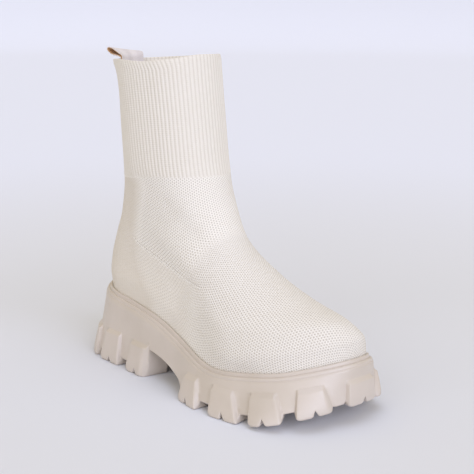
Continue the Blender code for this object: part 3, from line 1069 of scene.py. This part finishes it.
@dataclass(frozen=True)
class KnitUpper:
    """Knitted sock of one wall: ribbed shaft, mesh foot, closer heel with its knitted dart.

    Attributes:
        last: Form of the boot.
        finish: Its yarn.
        rings: Back and its height, front and its height, half widths at heel, middle and front, and
            the shares of the length that are round, from just above the lip to the collar.
        width_shares: Shares of a ring's length at its half widths.
        shaped_by_sole: Rings that follow the deck's dip and the toe's swing, ever less.
        clearance: Height above the rim where the upper leaves the lip.
        ribs: Ribs round the shaft.
        rib_columns: Columns of each rib.
        ring_points: Points where the length round the shaft is measured.
        rib_depth: Height of a rib over its groove.
        rib_roundness: Power that broadens a rib's top.
        rib_level: Share of a rib's height that lies below the smooth face.
        rib_inside: Share of the ribs that shows on the inner face.
        rib_end: Distances above the line of the ribs' ends between which they rise.
        rib_line: Share of the length and level of the line where the ribs end.
        foot_rows: Rows between the lip and the ribs.
        shaft_rows: Rows up the shaft.
        end_rows: Closer rows where the ribs end.
        end_share: Share of the shaft that those take.
        inner_every: Rows of the outer face for each row of the inner face.
        hem: Tuck of the collar's edge.
        hem_reach: Distance below the edge where the tuck begins.
        hem_flat: Share by which the ribs flatten at the edge.
        flat_reach: Distance below the edge where they begin to.
        edge_round: Height of the edge's round, as a share of half its thickness.
        edge_turns: Angles of the round's rows, in degrees.
        lateral: Distances from the middle between which the lateral side's own shape begins.
        sag: Dip of the collar's lateral edge.
        sag_place: Station of the dip, and its reach along the edge and down from it.
        flare: Turn outwards of the collar's back edge.
        flare_reach: Distance below the edge where it begins.
        neck: Depth of the hollow below it.
        neck_place: Distance of the hollow below the edge, and its reach.
        back_end: Stations between which the back's flare and hollow end.
        rib_pull: Lean of the ribs towards the pull loop, at the edge.
        pull_reach: Distance below the edge where the lean begins.
        pull_stations: Stations where the lean begins, is full, begins to fade, and ends.
        loose: How much the knit's direction counts where it has no holes.
        course_slope: Station, and direction that the knit grows in there, in degrees above the forward.
        dart: Station and height along the heel's knitted dart.
        heel_edge: Height, and station of the front edge of the heel's plain knit.
        heel_plain: Share by which the mesh closes up there.
        heel_soft: Reach of that edge forward and back.
        pocket: Share by which the mesh closes up below the dart.
        pocket_rise: Height over which it does.
        pocket_end: Stations between which that ends.
        dart_level: Share of a height over the dart that is the distance from it.
        dart_stretch: Length along the dart for each length of station.
        foot_slope: Station that the foot's knit begins further forward for each height.
        foot_start: Stations at the ground between which it begins.
        creases: Soft troughs and ridges.
    """

    last: Last
    finish: KnitYarn
    rings: tuple[tuple[float, ...], ...] = (
        (13.0, 73, 269.5, 57.5, 31.0, 32.5, 42.0, 0.15, 0.27),
        (13.8, 86.5, 259.0, 69.5, 29.5, 31.0, 38.5, 0.16, 0.31),
        (17.5, 98, 231.5, 78.5, 29.0, 29.8, 34.2, 0.18, 0.33),
        (22.5, 110, 199.0, 91, 29.2, 29.5, 31.6, 0.22, 0.34),
        (29.5, 125, 162.5, 116, 30.2, 31.0, 29.8, 0.30, 0.38),
        (36.0, 149.5, 141.0, 154, 33.0, 34.8, 33.0, 0.40, 0.42),
        (36.0, 164, 136.5, 169.5, 34.5, 37.0, 35.0, 0.45, 0.45),
        (32.5, 207, 130.5, 210.5, 35.6, 38.0, 36.0, 0.48, 0.48),
        (25.8, 246.7, 125.0, 254, 35.6, 38.0, 36.5, 0.48, 0.48),
    )
    width_shares: tuple[float, ...] = (0, 0.2, 0.45, 0.74, 1)
    shaped_by_sole: int = 4
    clearance: float = 0.6
    ribs: int = 84
    rib_columns: int = 6
    ring_points: int = 2001
    rib_depth: float = 0.55
    rib_roundness: float = 1.8
    rib_level: float = 0.72
    rib_inside: float = 0.35
    rib_end: tuple[float, float] = (-0.4, 2.2)
    rib_line: tuple[tuple[float, float], ...] = (
        (0, 7.14), (0.25, 7.29), (0.52, 7.46), (0.73, 7.54), (1, 7.52)
    )
    foot_rows: int = 104
    shaft_rows: int = 30
    end_rows: int = 8
    end_share: float = 0.1
    inner_every: int = 4
    hem: float = 0.35
    hem_reach: float = 1.6
    hem_flat: float = 0.6
    flat_reach: float = 2.0
    edge_round: float = 0.9
    edge_turns: tuple[float, ...] = (150, 120, 90, 60, 30)
    lateral: tuple[float, float] = (6, 22)
    sag: float = 3.2
    sag_place: tuple[float, float] = (98, 26)
    flare: float = 1.8
    flare_reach: float = 14.0
    neck: float = 1.5
    neck_place: tuple[float, float] = (24, 17)
    back_end: tuple[float, float] = (34, 62)
    rib_pull: float = 2.4
    pull_reach: float = 9.0
    pull_stations: tuple[float, float, float, float] = (52, 80, 104, 124)
    loose: float = 0.03
    course_slope: tuple[tuple[float, float], ...] = (
        (85, -94), (129, -90), (145, -72), (155, -55), (194, -31), (232, -21), (270, -19)
    )
    dart: tuple[tuple[float, float], ...] = (
        (68, 107), (74, 103), (97, 96.4), (123, 90), (149, 83.8), (158, 82.8)
    )
    heel_edge: tuple[tuple[float, float], ...] = (
        (60, 96), (73, 85), (84, 76), (95, 73), (121, 79), (150, 90)
    )
    heel_plain: float = 0.8
    heel_soft: tuple[float, float] = (9, 15)
    pocket: float = 0.5
    pocket_rise: float = 3.0
    pocket_end: tuple[float, float] = (130, 172)
    dart_level: float = 0.96
    dart_stretch: float = 1.04
    foot_slope: float = 0.5
    foot_start: tuple[float, float] = (92, 104)
    creases: tuple[Crease, ...] = (
        Crease(62, 128, 75, 26, 9, 1.0),
        Crease(128, 128, -38, 30, 8, 0.8),
        Crease(150, 112, -40, 26, 6, 0.5),
        Crease(120, 108, -30, 24, 9, -0.6),
    )

    def sections(self, angle: Array) -> Array:
        """Rings of the outer face: inside the lip, just above it, then the table's rings."""
        last = self.last
        share = share_at(angle)
        side = -np.sign(np.sin(angle))
        feather = last.feather.edge(angle)
        rim = last.rim_height(angle)
        found = [lifted(feather, rim - last.lip + last.gap), lifted(feather, rim + self.clearance)]
        heel_rim, toe_rim = last.rim_height(np.array((0.0, np.pi)))
        dip = heel_rim + (toe_rim - heel_rim) * share - rim
        swing = last.feather.spine(angle)[..., 1]
        for number, ring in enumerate(self.rings):
            back, back_height, front, front_height, heel, middle, fore, heel_round, front_round = ring
            follow = max(1 - number / self.shaped_by_sole, 0)
            half = smooth(share, self.width_shares, (heel, heel, middle, fore, fore))
            across = side * half * round_ends(share, heel_round, front_round) + follow * swing
            height = back_height + (front_height - back_height) * share - follow * dip
            found.append(np.stack([back + (front - back) * share, across, height], -1))
        return np.array(found)

    def angles(self) -> Array:
        """Angles of the columns, evenly spaced round the shaft."""
        fine = np.linspace(0, np.pi, self.ring_points)
        ring = self.sections(fine)[-2]
        run = length_along(ring)
        half = self.ribs * self.rib_columns // 2
        lateral = np.interp(np.linspace(0, run[-1], half + 1), run, fine)
        return np.concatenate([lateral, 2 * np.pi - lateral[-2::-1]])

    def levels(self, angle: Array) -> Array:
        """Levels of the outer face's rows, counted in sections, collar first, row by column."""
        top = len(self.rings) + 1
        line = smooth(share_at(angle), *np.transpose(self.rib_line))
        ends = np.linspace(0, self.end_share, self.end_rows, endpoint=False)
        shaft = np.concatenate([ends, np.linspace(self.end_share, 1, self.shaft_rows)])[::-1, None]
        foot = np.linspace(1, 0, self.foot_rows)[1:, None]
        lip = np.zeros((1, len(angle)))
        return np.concatenate([line + (top - line) * shaft, 1 + (line - 1) * foot, lip])

    def flow(self, base: Array, normal: Array, start: Array, share: Array) -> Array:
        """Lay the knit over the upper, as a sock's courses turn from the leg to the foot.

        Args:
            base: Points of the outer face.
            normal: Their normals.
            start: First guess of the lengths across and along the knit.
            share: How much the direction shows at each point.

        Returns:
            Lengths across and along the knit, row by column by two.
        """
        slope = np.radians(smooth(base[..., 0], *np.transpose(self.course_slope)))
        wanted = np.stack([np.cos(slope), np.zeros_like(slope), np.sin(slope)], -1)
        along = unit(wanted - normal * (wanted * normal).sum(-1, keepdims=True))
        across = np.cross(normal, along)
        fields = [lay(base, way, start[..., k], share) for k, way in enumerate((across, along))]
        return np.stack(fields, -1)

    def shaped(self, base: Array, normal: Array, below: Array) -> Array:
        """Outer face with the collar's sag and flare, its pulled ribs, and the soft creases.

        Args:
            base: Points of the smooth outer face.
            normal: Their normals.
            below: Distances below the collar's edge.

        Returns:
            Moved points.
        """
        station = base[..., 0]
        lateral = fade(-base[..., 1], *self.lateral)
        around = np.gradient(base, axis=1)
        sag_station, sag_reach = self.sag_place
        sag = self.sag * lateral * np.exp(
            -(((station - sag_station) / sag_reach) ** 2) - (below / sag_reach) ** 2
        )
        begin, full, still, end = self.pull_stations
        pull = self.rib_pull * lateral * fade(below, self.pull_reach, 0) ** 2
        pull *= fade(station, end, still) * fade(station, begin, full)
        neck_below, neck_reach = self.neck_place
        neck = self.neck * np.exp(-(((below - neck_below) / neck_reach) ** 2))
        flare = self.flare * fade(below, self.flare_reach, 0) ** 2 - neck
        flare *= fade(station, *self.back_end[::-1])
        press = sum(crease.press(base) for crease in self.creases)
        moved = base + normal * (flare - press)[..., None] - unit(around) * pull[..., None]
        moved[..., 2] -= sag
        return moved

    def zones(self, base: Array, rib_zone: Array) -> dict[str, Array]:
        """Where the knit changes.

        Args:
            base: Points of the outer face.
            rib_zone: Share of the ribs at each.

        Returns:
            Share of the open mesh, share of the foot's closer knit, distances from the heel's dart and
            from the sewing above it, and length along them.
        """
        station, height = base[..., 0], base[..., 2]
        line, level = np.transpose(self.dart)
        above = (height - smooth(station, line, level)) * self.dart_level
        past = np.maximum(np.maximum(line[0] - station, station - line[-1]), 0)
        heel_edge = smooth(height, *np.transpose(self.heel_edge))
        forward, back = self.heel_soft
        heel = self.heel_plain * fade(station, heel_edge + forward, heel_edge - back) * (1 - rib_zone)
        pocket = self.pocket * fade(-above, 0, self.pocket_rise) * fade(station, *self.pocket_end[::-1])
        return {
            "mesh_knit": (1 - rib_zone) * (1 - heel) * (1 - pocket),
            "foot_knit": fade(station - self.foot_slope * height, *self.foot_start),
            "dart": np.hypot(above, past),
            "dart_sewing": np.hypot(above - self.finish.dart_width, past),
            "dart_run": station * self.dart_stretch,
        }

    def collar_edge(self, outer: Array, inner: Array) -> Array:
        """Rows of the collar's round edge.

        Args:
            outer: Row of the outer face at the collar.
            inner: Row of the inner face there.

        Returns:
            Points from the inner face over to the outer face, row by column by coordinate.
        """
        middle, arm = (outer + inner) / 2, (outer - inner) / 2
        lift = np.linalg.norm(arm, axis=-1, keepdims=True) * (0, 0, self.edge_round)
        turns = np.radians(self.edge_turns)
        return np.array([middle + arm * math.cos(turn) + lift * math.sin(turn) for turn in turns])

    def smooth_face(self, angle: Array) -> tuple[Array, Array]:
        """Outer face without ribs and creases.

        Args:
            angle: Angles of its columns.

        Returns:
            Its points and its normals, which are level at the collar's edge and inside the lip.
        """
        levels = self.levels(angle)
        sections = self.sections(angle)
        knots = np.arange(len(sections))
        face = np.stack([smooth(levels[:, c], knots, sections[:, c]) for c in range(len(angle))], 1)
        ring = np.concatenate([face[:, -2:-1], face, face[:, 1:2]], axis=1)
        normal = np.cross(ring[:, 2:] - ring[:, :-2], -np.gradient(face, axis=0))
        normal[[0, -2, -1], :, 2] = 0
        return face, unit(normal)

    def build(self) -> bpy.types.Object:
        """Form the upper and dress it."""
        angle = self.angles()
        base, normal = self.smooth_face(angle)
        run = length_along(base, 1)
        run -= run[:, len(angle) // 2, None]
        below = length_along(base)
        under_ribs = below - below[self.shaft_rows + self.end_rows - 1]
        rib_zone = fade(-under_ribs, *self.rib_end)
        zones = self.zones(base, rib_zone)
        start = np.stack([run, under_ribs], -1)
        pattern = self.flow(base, normal, start, np.maximum(zones["mesh_knit"], self.loose))

        turn = 2 * np.pi * np.arange(len(angle)) / self.rib_columns
        ridge = 1 - ((1 - np.cos(turn)) / 2) ** self.rib_roundness
        ridge = np.broadcast_to(ridge, rib_zone.shape)
        shaped = self.shaped(base, normal, below)
        shaped[-2:] = base[-2:]
        hem = self.hem * fade(below, self.hem_reach, 0)
        flat = 1 - self.hem_flat * fade(below, self.flat_reach, 0)
        rise = self.rib_depth * (ridge - self.rib_level) * rib_zone * flat - hem
        outer = shaped + normal * rise[..., None]
        ribs_inside = self.rib_inside * self.rib_depth * (ridge - 0.5) * rib_zone
        thickness = self.last.wall - hem - ribs_inside
        back = list(range(0, len(base), self.inner_every))[::-1]
        inner = (shaped - normal * thickness[..., None])[back]
        rim = self.collar_edge(outer[0], inner[-1])
        points = np.concatenate([rim, outer, inner, rim[:1]])

        order = [0] * len(rim) + list(range(len(base))) + back + [0]
        marks = {name: values[order] for name, values in zones.items()}
        inside = slice(len(rim) + len(base), None)
        for name, value in (("mesh_knit", 0), ("dart", FAR), ("dart_sewing", FAR)):
            marks[name][inside] = value
        marks |= {"ridge": ridge[order], "rib_zone": rib_zone[order]}
        piece = form_grid("knit_upper", points, pattern[order], marks)
        seat(piece, self.finish.material(), "upper")
        return piece


@dataclass(frozen=True)
class LiningCloth:
    """Brushed cotton lining glued over foam: matt, warm beige, with a fine plain weave.

    Attributes:
        colour: Colour of the cloth.
        shade: Colour between its threads and where it is rubbed.
        thread: Width of a thread, drawn as coarse as it needs to show.
        weave_depth: Depth of the weave.
        weave_share: How much the weave shows in the colour.
        rubbed_size: Size of the rubbed patches.
    """

    colour: str = "dfd3c4"
    shade: str = "cdbfae"
    thread: float = 1.1
    weave_depth: float = 0.15
    weave_share: float = 0.25
    rubbed_size: float = 30.0

    def material(self) -> bpy.types.Material:
        """Make the finish."""
        material, tree, shader = surface = new_finish("insole_lining", Roughness=0.9, Sheen_Weight=0.2)
        place = add_node(tree, "TexCoord", output="Object")
        warp, weft = (
            add_wave(tree, add_node(tree, "SeparateXYZ", {0: place}, axis), 2 * self.thread * MM)
            for axis in ("X", "Y")
        )
        weave = add_node(tree, "Math", {0: warp, 1: weft}, operation="MULTIPLY")
        noise = {"Vector": place, "Scale": 1 / (self.rubbed_size * MM), "Detail": 3.0}
        rubbed = add_node(tree, "TexNoise", noise)
        worn = {0: weave, 1: self.weave_share, 2: rubbed}
        share = add_node(tree, "Math", worn, operation="MULTIPLY_ADD")
        paint(surface, self.colour, ((share, self.shade),))
        relief = {"Strength": 0.5, "Distance": self.weave_depth * MM, "Height": weave}
        bump = add_node(tree, "Bump", relief)
        tree.links.new(bump, shader.inputs["Normal"])
        return material


@dataclass(frozen=True)
class Footbed:
    """Insole that lies on the sole's deck, with a rounded edge and a slight heel cup.

    Attributes:
        last: Form of the boot.
        finish: Its lining.
        thickness: Thickness of the board and its cover.
        edge: Round of the edge.
        cup: Rise of the edge above the middle.
        cup_width: Half width from which it is that high.
        cup_power: Power of the rise towards the edge.
        low_edge: Round of the edge underneath.
        top_shares: Rows of the top, as shares from its middle to the edge.
        low_shares: Rows underneath, as shares from the edge to the middle.
        columns: Columns round the edge.
    """

    last: Last
    finish: LiningCloth
    thickness: float = 4.0
    edge: float = 1.2
    cup: float = 1.2
    cup_width: float = 20.0
    cup_power: int = 3
    low_edge: float = 0.5
    top_shares: tuple[float, ...] = (0, 0.3, 0.55, 0.75, 0.88)
    low_shares: tuple[float, ...] = (0.5, 1)
    columns: int = 160

    def build(self) -> bpy.types.Object:
        """Form the footbed and dress it."""
        last = self.last
        angle = np.linspace(0, 2 * np.pi, self.columns + 1)
        bottom = last.rim_height(angle) - last.lip + last.gap
        top = bottom + self.thickness
        side = last.feather.offset(angle, -last.wall - last.gap)
        inner = last.feather.offset(angle, -last.wall - last.gap - self.edge)
        spine = (inner + inner[::-1]) / 2
        cup = self.cup * np.clip(np.linalg.norm(inner - spine, axis=-1) / self.cup_width, 0, 1)
        rows = [
            lifted(spine + (inner - spine) * share, top - cup * (1 - share**self.cup_power))
            for share in self.top_shares
        ]
        corners = ((inner, top), (side, top), (side, bottom), (inner, bottom))
        profile = np.array([lifted(line, height) for line, height in corners])
        rows += list(rounded(profile, (self.edge, self.low_edge), steps=3))
        rows += [lifted(inner + (spine - inner) * share, bottom) for share in self.low_shares]
        points = np.array(rows)
        piece = form_grid("footbed", points, points[..., :2], {})
        seat(piece, self.finish.material(), "insole")
        return piece


@dataclass(frozen=True)
class WovenTape:
    """Soft woven polyester tape: a fine herringbone, pale outside, with tan painted shade where it is
    folded in.

    Attributes:
        colour: Colour on the herringbone's ribs.
        shade: Colour between them.
        inside: Painted shade, a tan, on the side that is folded in.
        rib: Pitch of the herringbone's ribs, drawn as coarse as it needs to show.
        rib_depth: Depth between two ribs.
        bone: Width of one band of the herringbone.
    """

    colour: str = "e5dfdf"
    shade: str = "dbd2d1"
    # Painted shade on the loop's folded-in faces.
    inside: str = "c99d6c"
    rib: float = 1.2
    rib_depth: float = 0.15
    bone: float = 5.0

    def material(self) -> bpy.types.Material:
        """Make the finish."""
        material, tree, shader = surface = new_finish("woven_tape", Roughness=0.82, Sheen_Weight=0.2)
        pattern = add_node(tree, "UVMap", uv_map="pattern")
        across, along = (add_node(tree, "SeparateXYZ", {0: pattern}, axis) for axis in ("X", "Y"))
        folded = add_node(tree, "Math", {0: across, 1: self.bone}, operation="PINGPONG")
        slant = add_node(tree, "Math", {0: folded, 1: along}, operation="ADD")
        twill = add_wave(tree, slant, self.rib)
        tint = add_node(tree, "MapRange", {0: twill, 1: -1.0, 2: 1.0, 3: 0.0, 4: 1.0})
        inner = add_node(tree, "Attribute", output="Fac", attribute_name="inner_face_shade")
        # The folded-in faces get the painted shade.
        paint(surface, self.shade, ((tint, self.colour), (inner, self.inside)))
        relief = {"Strength": 0.6, "Distance": self.rib_depth * MM, "Height": twill}
        bump = add_node(tree, "Bump", relief)
        tree.links.new(bump, shader.inputs["Normal"])
        return material


@dataclass(frozen=True)
class PullLoop:
    """Tape folded in two, with both ends inside the back of the collar.

    Attributes:
        upper: Upper that holds it.
        finish: Its tape.
        width: Width of the tape.
        centre: Side of its middle.
        thickness: Thickness of the tape.
        tab: Length inside the collar.
        loop: Length of the loop at its lateral edge.
        loop_medial: Length at its medial edge.
        lean: Lean back of the loop, in degrees.
        bend: Length over which it bends back.
        leg_gap: Gap between the legs at the collar.
        opening: Gap between them at the fold.
        clearance: Gap between tape and collar.
        lift: Height over the collar's edge where the tape turns.
        legs_part: Widening of the legs where they begin to part, and the share of the loop there.
        fold_start: Share of the loop where the fold begins.
        edge_inset: Share of the width from each edge to the tape's full thickness.
        edge_thickness: Thickness beside the edges, as a share.
        back_turn: Angle either way from the back where the collar is looked up.
        back_points: Points of the collar there.
        rows: Points along each leg.
        columns: Points across.
    """

    upper: KnitUpper
    finish: WovenTape
    width: float = 23.0
    centre: float = -3.0
    thickness: float = 1.2
    tab: float = 12.0
    loop: float = 22.5
    loop_medial: float = 4.5
    lean: float = 76.0
    bend: float = 5.0
    leg_gap: float = 0.4
    opening: float = 4.6
    clearance: float = 0.9
    lift: float = 0.9
    legs_part: tuple[float, float] = (0.3, 0.25)
    fold_start: float = 0.7
    edge_inset: float = 0.01
    edge_thickness: float = 0.6
    back_turn: float = 0.6
    back_points: int = 241
    rows: int = 40
    columns: int = 25

    def path(self, loop: float, leg: int) -> Array:
        """Middle line of one leg, forward and up from where it passes the collar's edge.

        Args:
            loop: Length of the loop.
            leg: 1 for the leg against the collar and -1 for the other.

        Returns:
            Points from the tab's end to the fold.
        """
        (low_back, low, *_), (back, high, *_) = self.upper.rings[-2:]
        collar_lean = math.atan2(low_back - back, high - low)
        lean_end = math.radians(self.lean)
        distance = (self.tab + loop) * np.sin(np.linspace(0, np.pi / 2, self.rows))
        bent = self.tab + self.bend
        leans = (collar_lean, collar_lean, lean_end, lean_end)
        lean = smooth(distance, (0, self.tab, bent, bent + 1), leans)
        step = np.diff(distance, prepend=distance[0])
        forward = np.cumsum(-np.sin(lean) * step)
        upward = np.cumsum(np.cos(lean) * step)
        share = np.clip((distance - self.tab) / loop, 0, 1)
        closed = (self.thickness + self.leg_gap) / 2
        wider, part_at = self.legs_part
        halves = (closed, closed + wider, self.opening / 2, self.opening / 2)
        fold = np.clip((share - self.fold_start) / (1 - self.fold_start), 0, 1)
        spread = leg * smooth(share, (0, part_at, self.fold_start, 1), halves) * np.sqrt(1 - fold**2)
        forward = forward - np.interp(self.tab, distance, forward) - np.cos(lean) * spread
        upward = upward - np.interp(self.tab, distance, upward) - np.sin(lean) * spread
        return np.stack([forward, upward], -1)

    def build(self) -> bpy.types.Object:
        """Form the loop and dress it."""
        turns = np.linspace(-self.back_turn, self.back_turn, self.back_points) % (2 * np.pi)
        collar = self.upper.sections(turns)[-1]
        collar = collar[np.argsort(collar[:, 1])]
        tape_middle = self.upper.last.wall + self.clearance + self.thickness + self.leg_gap / 2
        full = np.linspace(self.edge_inset, 1 - self.edge_inset, self.columns)
        shares = np.concatenate([[0, 0], full, [1, 1]])
        halves = np.full(len(shares), self.thickness / 2)
        halves[[0, -1]] = 0
        halves[[1, -2]] *= self.edge_thickness
        rings, runs, inner_face_shades = [], [], []
        for share, half in zip(shares, halves):
            side = self.centre + self.width * (0.5 - share)
            loop = self.loop_medial + (self.loop - self.loop_medial) * share
            path = np.concatenate([self.path(loop, 1), self.path(loop, -1)[-2::-1]])
            along = unit(np.gradient(path, axis=0))
            normal = np.stack([-along[:, 1], along[:, 0]], -1)
            faces = (path + normal * half, (path - normal * half)[::-1])
            ring = np.concatenate([path[:1], faces[0], path[-1:], faces[1], path[:1]])
            forward = ring[:, 0] + np.interp(side, collar[:, 1], collar[:, 0]) + tape_middle
            upward = ring[:, 1] + np.interp(side, collar[:, 1], collar[:, 2]) + self.lift
            rings.append(np.stack([forward, np.full(len(ring), side), upward], -1))
            run = length_along(path)
            run = np.concatenate([run[:1], run, run[-1:], run[::-1], run[:1]])
            runs.append(np.stack([np.full(len(run), share * self.width), run], -1))
            # Faces folded in get the tape's painted shade.
            face = np.zeros(len(path))
            inner_face_shades.append(np.concatenate([[0], face, [0], face + 1, [0]]))
        marks = {"inner_face_shade": np.array(inner_face_shades)}
        piece = form_grid("pull_loop_tape", np.array(rings), np.array(runs), marks)
        seat(piece, self.finish.material(), "pull_loop")
        return piece


@dataclass(frozen=True)
class StudioFloor:
    """Matt paper sweep, turned up at its far edge, with painted light: greyer near the boot, paler far
    away.

    Attributes:
        near: Colour beside the boot, greyer with painted shade.
        far: Colour of the background, paler with painted light.
        turned_up_shade: Colour of its far edge, darker with painted shade because that edge takes more
            light.
        size: Side of the sheet, in metres, as are the other lengths.
        cells: Faces along its side.
        near_far: Distances from the boot between which the colour changes.
        edge: Distance from the boot where the sheet turns up.
        turned: Distance where it has its edge's full colour, as a share of half its side.
        rise: Height of its edge.
    """

    # Painted light on one paper: greyer near the boot, paler far off, darker where the sheet turns up.
    near: str = "e1e3ea"
    far: str = "eaeefd"
    turned_up_shade: str = "dadde9"
    size: float = 20.0
    cells: int = 80
    near_far: tuple[float, float] = (0.25, 1.3)
    edge: float = 5.0
    turned: float = 0.75
    rise: float = 1.15

    def build(self) -> None:
        """Lay the floor under the boot."""
        bpy.ops.object.select_all(action="DESELECT")
        bpy.ops.mesh.primitive_grid_add(
            x_subdivisions=self.cells, y_subdivisions=self.cells, size=self.size
        )
        floor = bpy.context.object
        floor.name = "floor"
        for vertex in floor.data.vertices:
            vertex.co.z = self.rise * float(fade(vertex.co.xy.length, self.edge, self.size / 2))
        bpy.ops.object.shade_smooth()
        surface = new_finish("studio_paper", Roughness=0.95, Specular_IOR_Level=0.2)
        material, tree, _ = surface
        place = add_node(tree, "TexCoord", output="Object")
        away = add_node(tree, "VectorMath", {0: place}, "Value", operation="LENGTH")
        turned = (self.edge, self.turned * self.size / 2)
        shares = []
        for low, high in (self.near_far, turned):
            levels = {0: away, 1: low, 2: high, 3: 0.0, 4: 1.0}
            shares.append(add_node(tree, "MapRange", levels, interpolation_type="SMOOTHSTEP"))
        # Painted light and shade over the paper, by the distance from the boot.
        paint(surface, self.near, tuple(zip(shares, (self.far, self.turned_up_shade))))
        floor.data.materials.append(material)


@dataclass(frozen=True)
class SoftLight:
    """One broad, distant studio light.

    Attributes:
        side: Direction that it comes from.
        strength: Its strength.
        spread: Its width as seen from the boot, in degrees.
        colour: Its colour.
    """

    side: tuple[float, float, float]
    strength: float
    spread: float
    colour: str = "ffffff"

    def build(self) -> None:
        """Hang the light."""
        bpy.ops.object.light_add(type="SUN", location=self.side)
        lamp = bpy.context.object
        lamp.rotation_euler = Vector(self.side).to_track_quat("Z", "Y").to_euler()
        lamp.data.energy = self.strength
        lamp.data.angle = math.radians(self.spread)
        lamp.data.color = linear(self.colour)[:3]


@dataclass(frozen=True)
class Studio:
    """Floor, light and camera.

    Attributes:
        floor: Paper sweep.
        lights: Soft lights.
        room: Colour of the room's own light.
        room_strength: Its strength.
        eye: Camera's place, in mm in the boot's frame.
        target: Point in the middle of the picture.
        roll: Turn of the picture, in degrees.
        lens: Focal length.
        sensor: Width of the sensor.
        sight: Distance that the camera sees, in metres.
    """

    floor: StudioFloor = StudioFloor()
    lights: tuple[SoftLight, ...] = (
        SoftLight((0.925, -0.163, 0.342), 2.0, 50, "dae2ff"),
        SoftLight((0.243, -0.908, 0.342), 0.75, 50, "e6eaff"),
        SoftLight((0.03, 0.0, 1.0), 0.8, 50, "c0d2ff"),
    )
    room: str = "fff0c8"
    room_strength: float = 0.61
    eye: tuple[float, float, float] = (623.9, -520.6, 297.4)
    target: tuple[float, float, float] = (-19.5, 35.2, 106.5)
    roll: float = 0.26
    lens: float = 81.28
    sensor: float = 36.0
    sight: float = 50.0

    def build(self) -> None:
        """Set up the studio."""
        self.floor.build()
        for light in self.lights:
            light.build()
        scene = bpy.context.scene
        world = bpy.data.worlds.new("studio_room")
        world.use_nodes = True
        background = world.node_tree.nodes["Background"]
        background.inputs["Color"].default_value = linear(self.room)
        background.inputs["Strength"].default_value = self.room_strength
        scene.world = world
        scene.view_settings.view_transform = "Standard"
        bpy.ops.object.camera_add()
        camera = bpy.context.object
        eye, target = Vector(self.eye) * MM, Vector(self.target) * MM
        turn = (target - eye).to_track_quat("-Z", "Y").to_matrix().to_4x4()
        roll = Matrix.Rotation(math.radians(self.roll), 4, "Z")
        camera.matrix_world = Matrix.Translation(eye) @ turn @ roll
        camera.data.sensor_width = self.sensor
        camera.data.lens = self.lens
        camera.data.clip_end = self.sight
        scene.camera = camera


def main() -> None:
    """Build the boot's looks and its studio."""
    logging.basicConfig(level=logging.INFO, format="%(name)s %(message)s")
    last = Last()
    upper = KnitUpper(last, KnitYarn())
    sole = SoleUnit(last, MouldedRubber())
    footbed = Footbed(last, LiningCloth())
    loop = PullLoop(upper, WovenTape())
    for part in (sole, upper, footbed, loop):
        part.build()
    Studio().build()


if __name__ == "__main__":
    main()
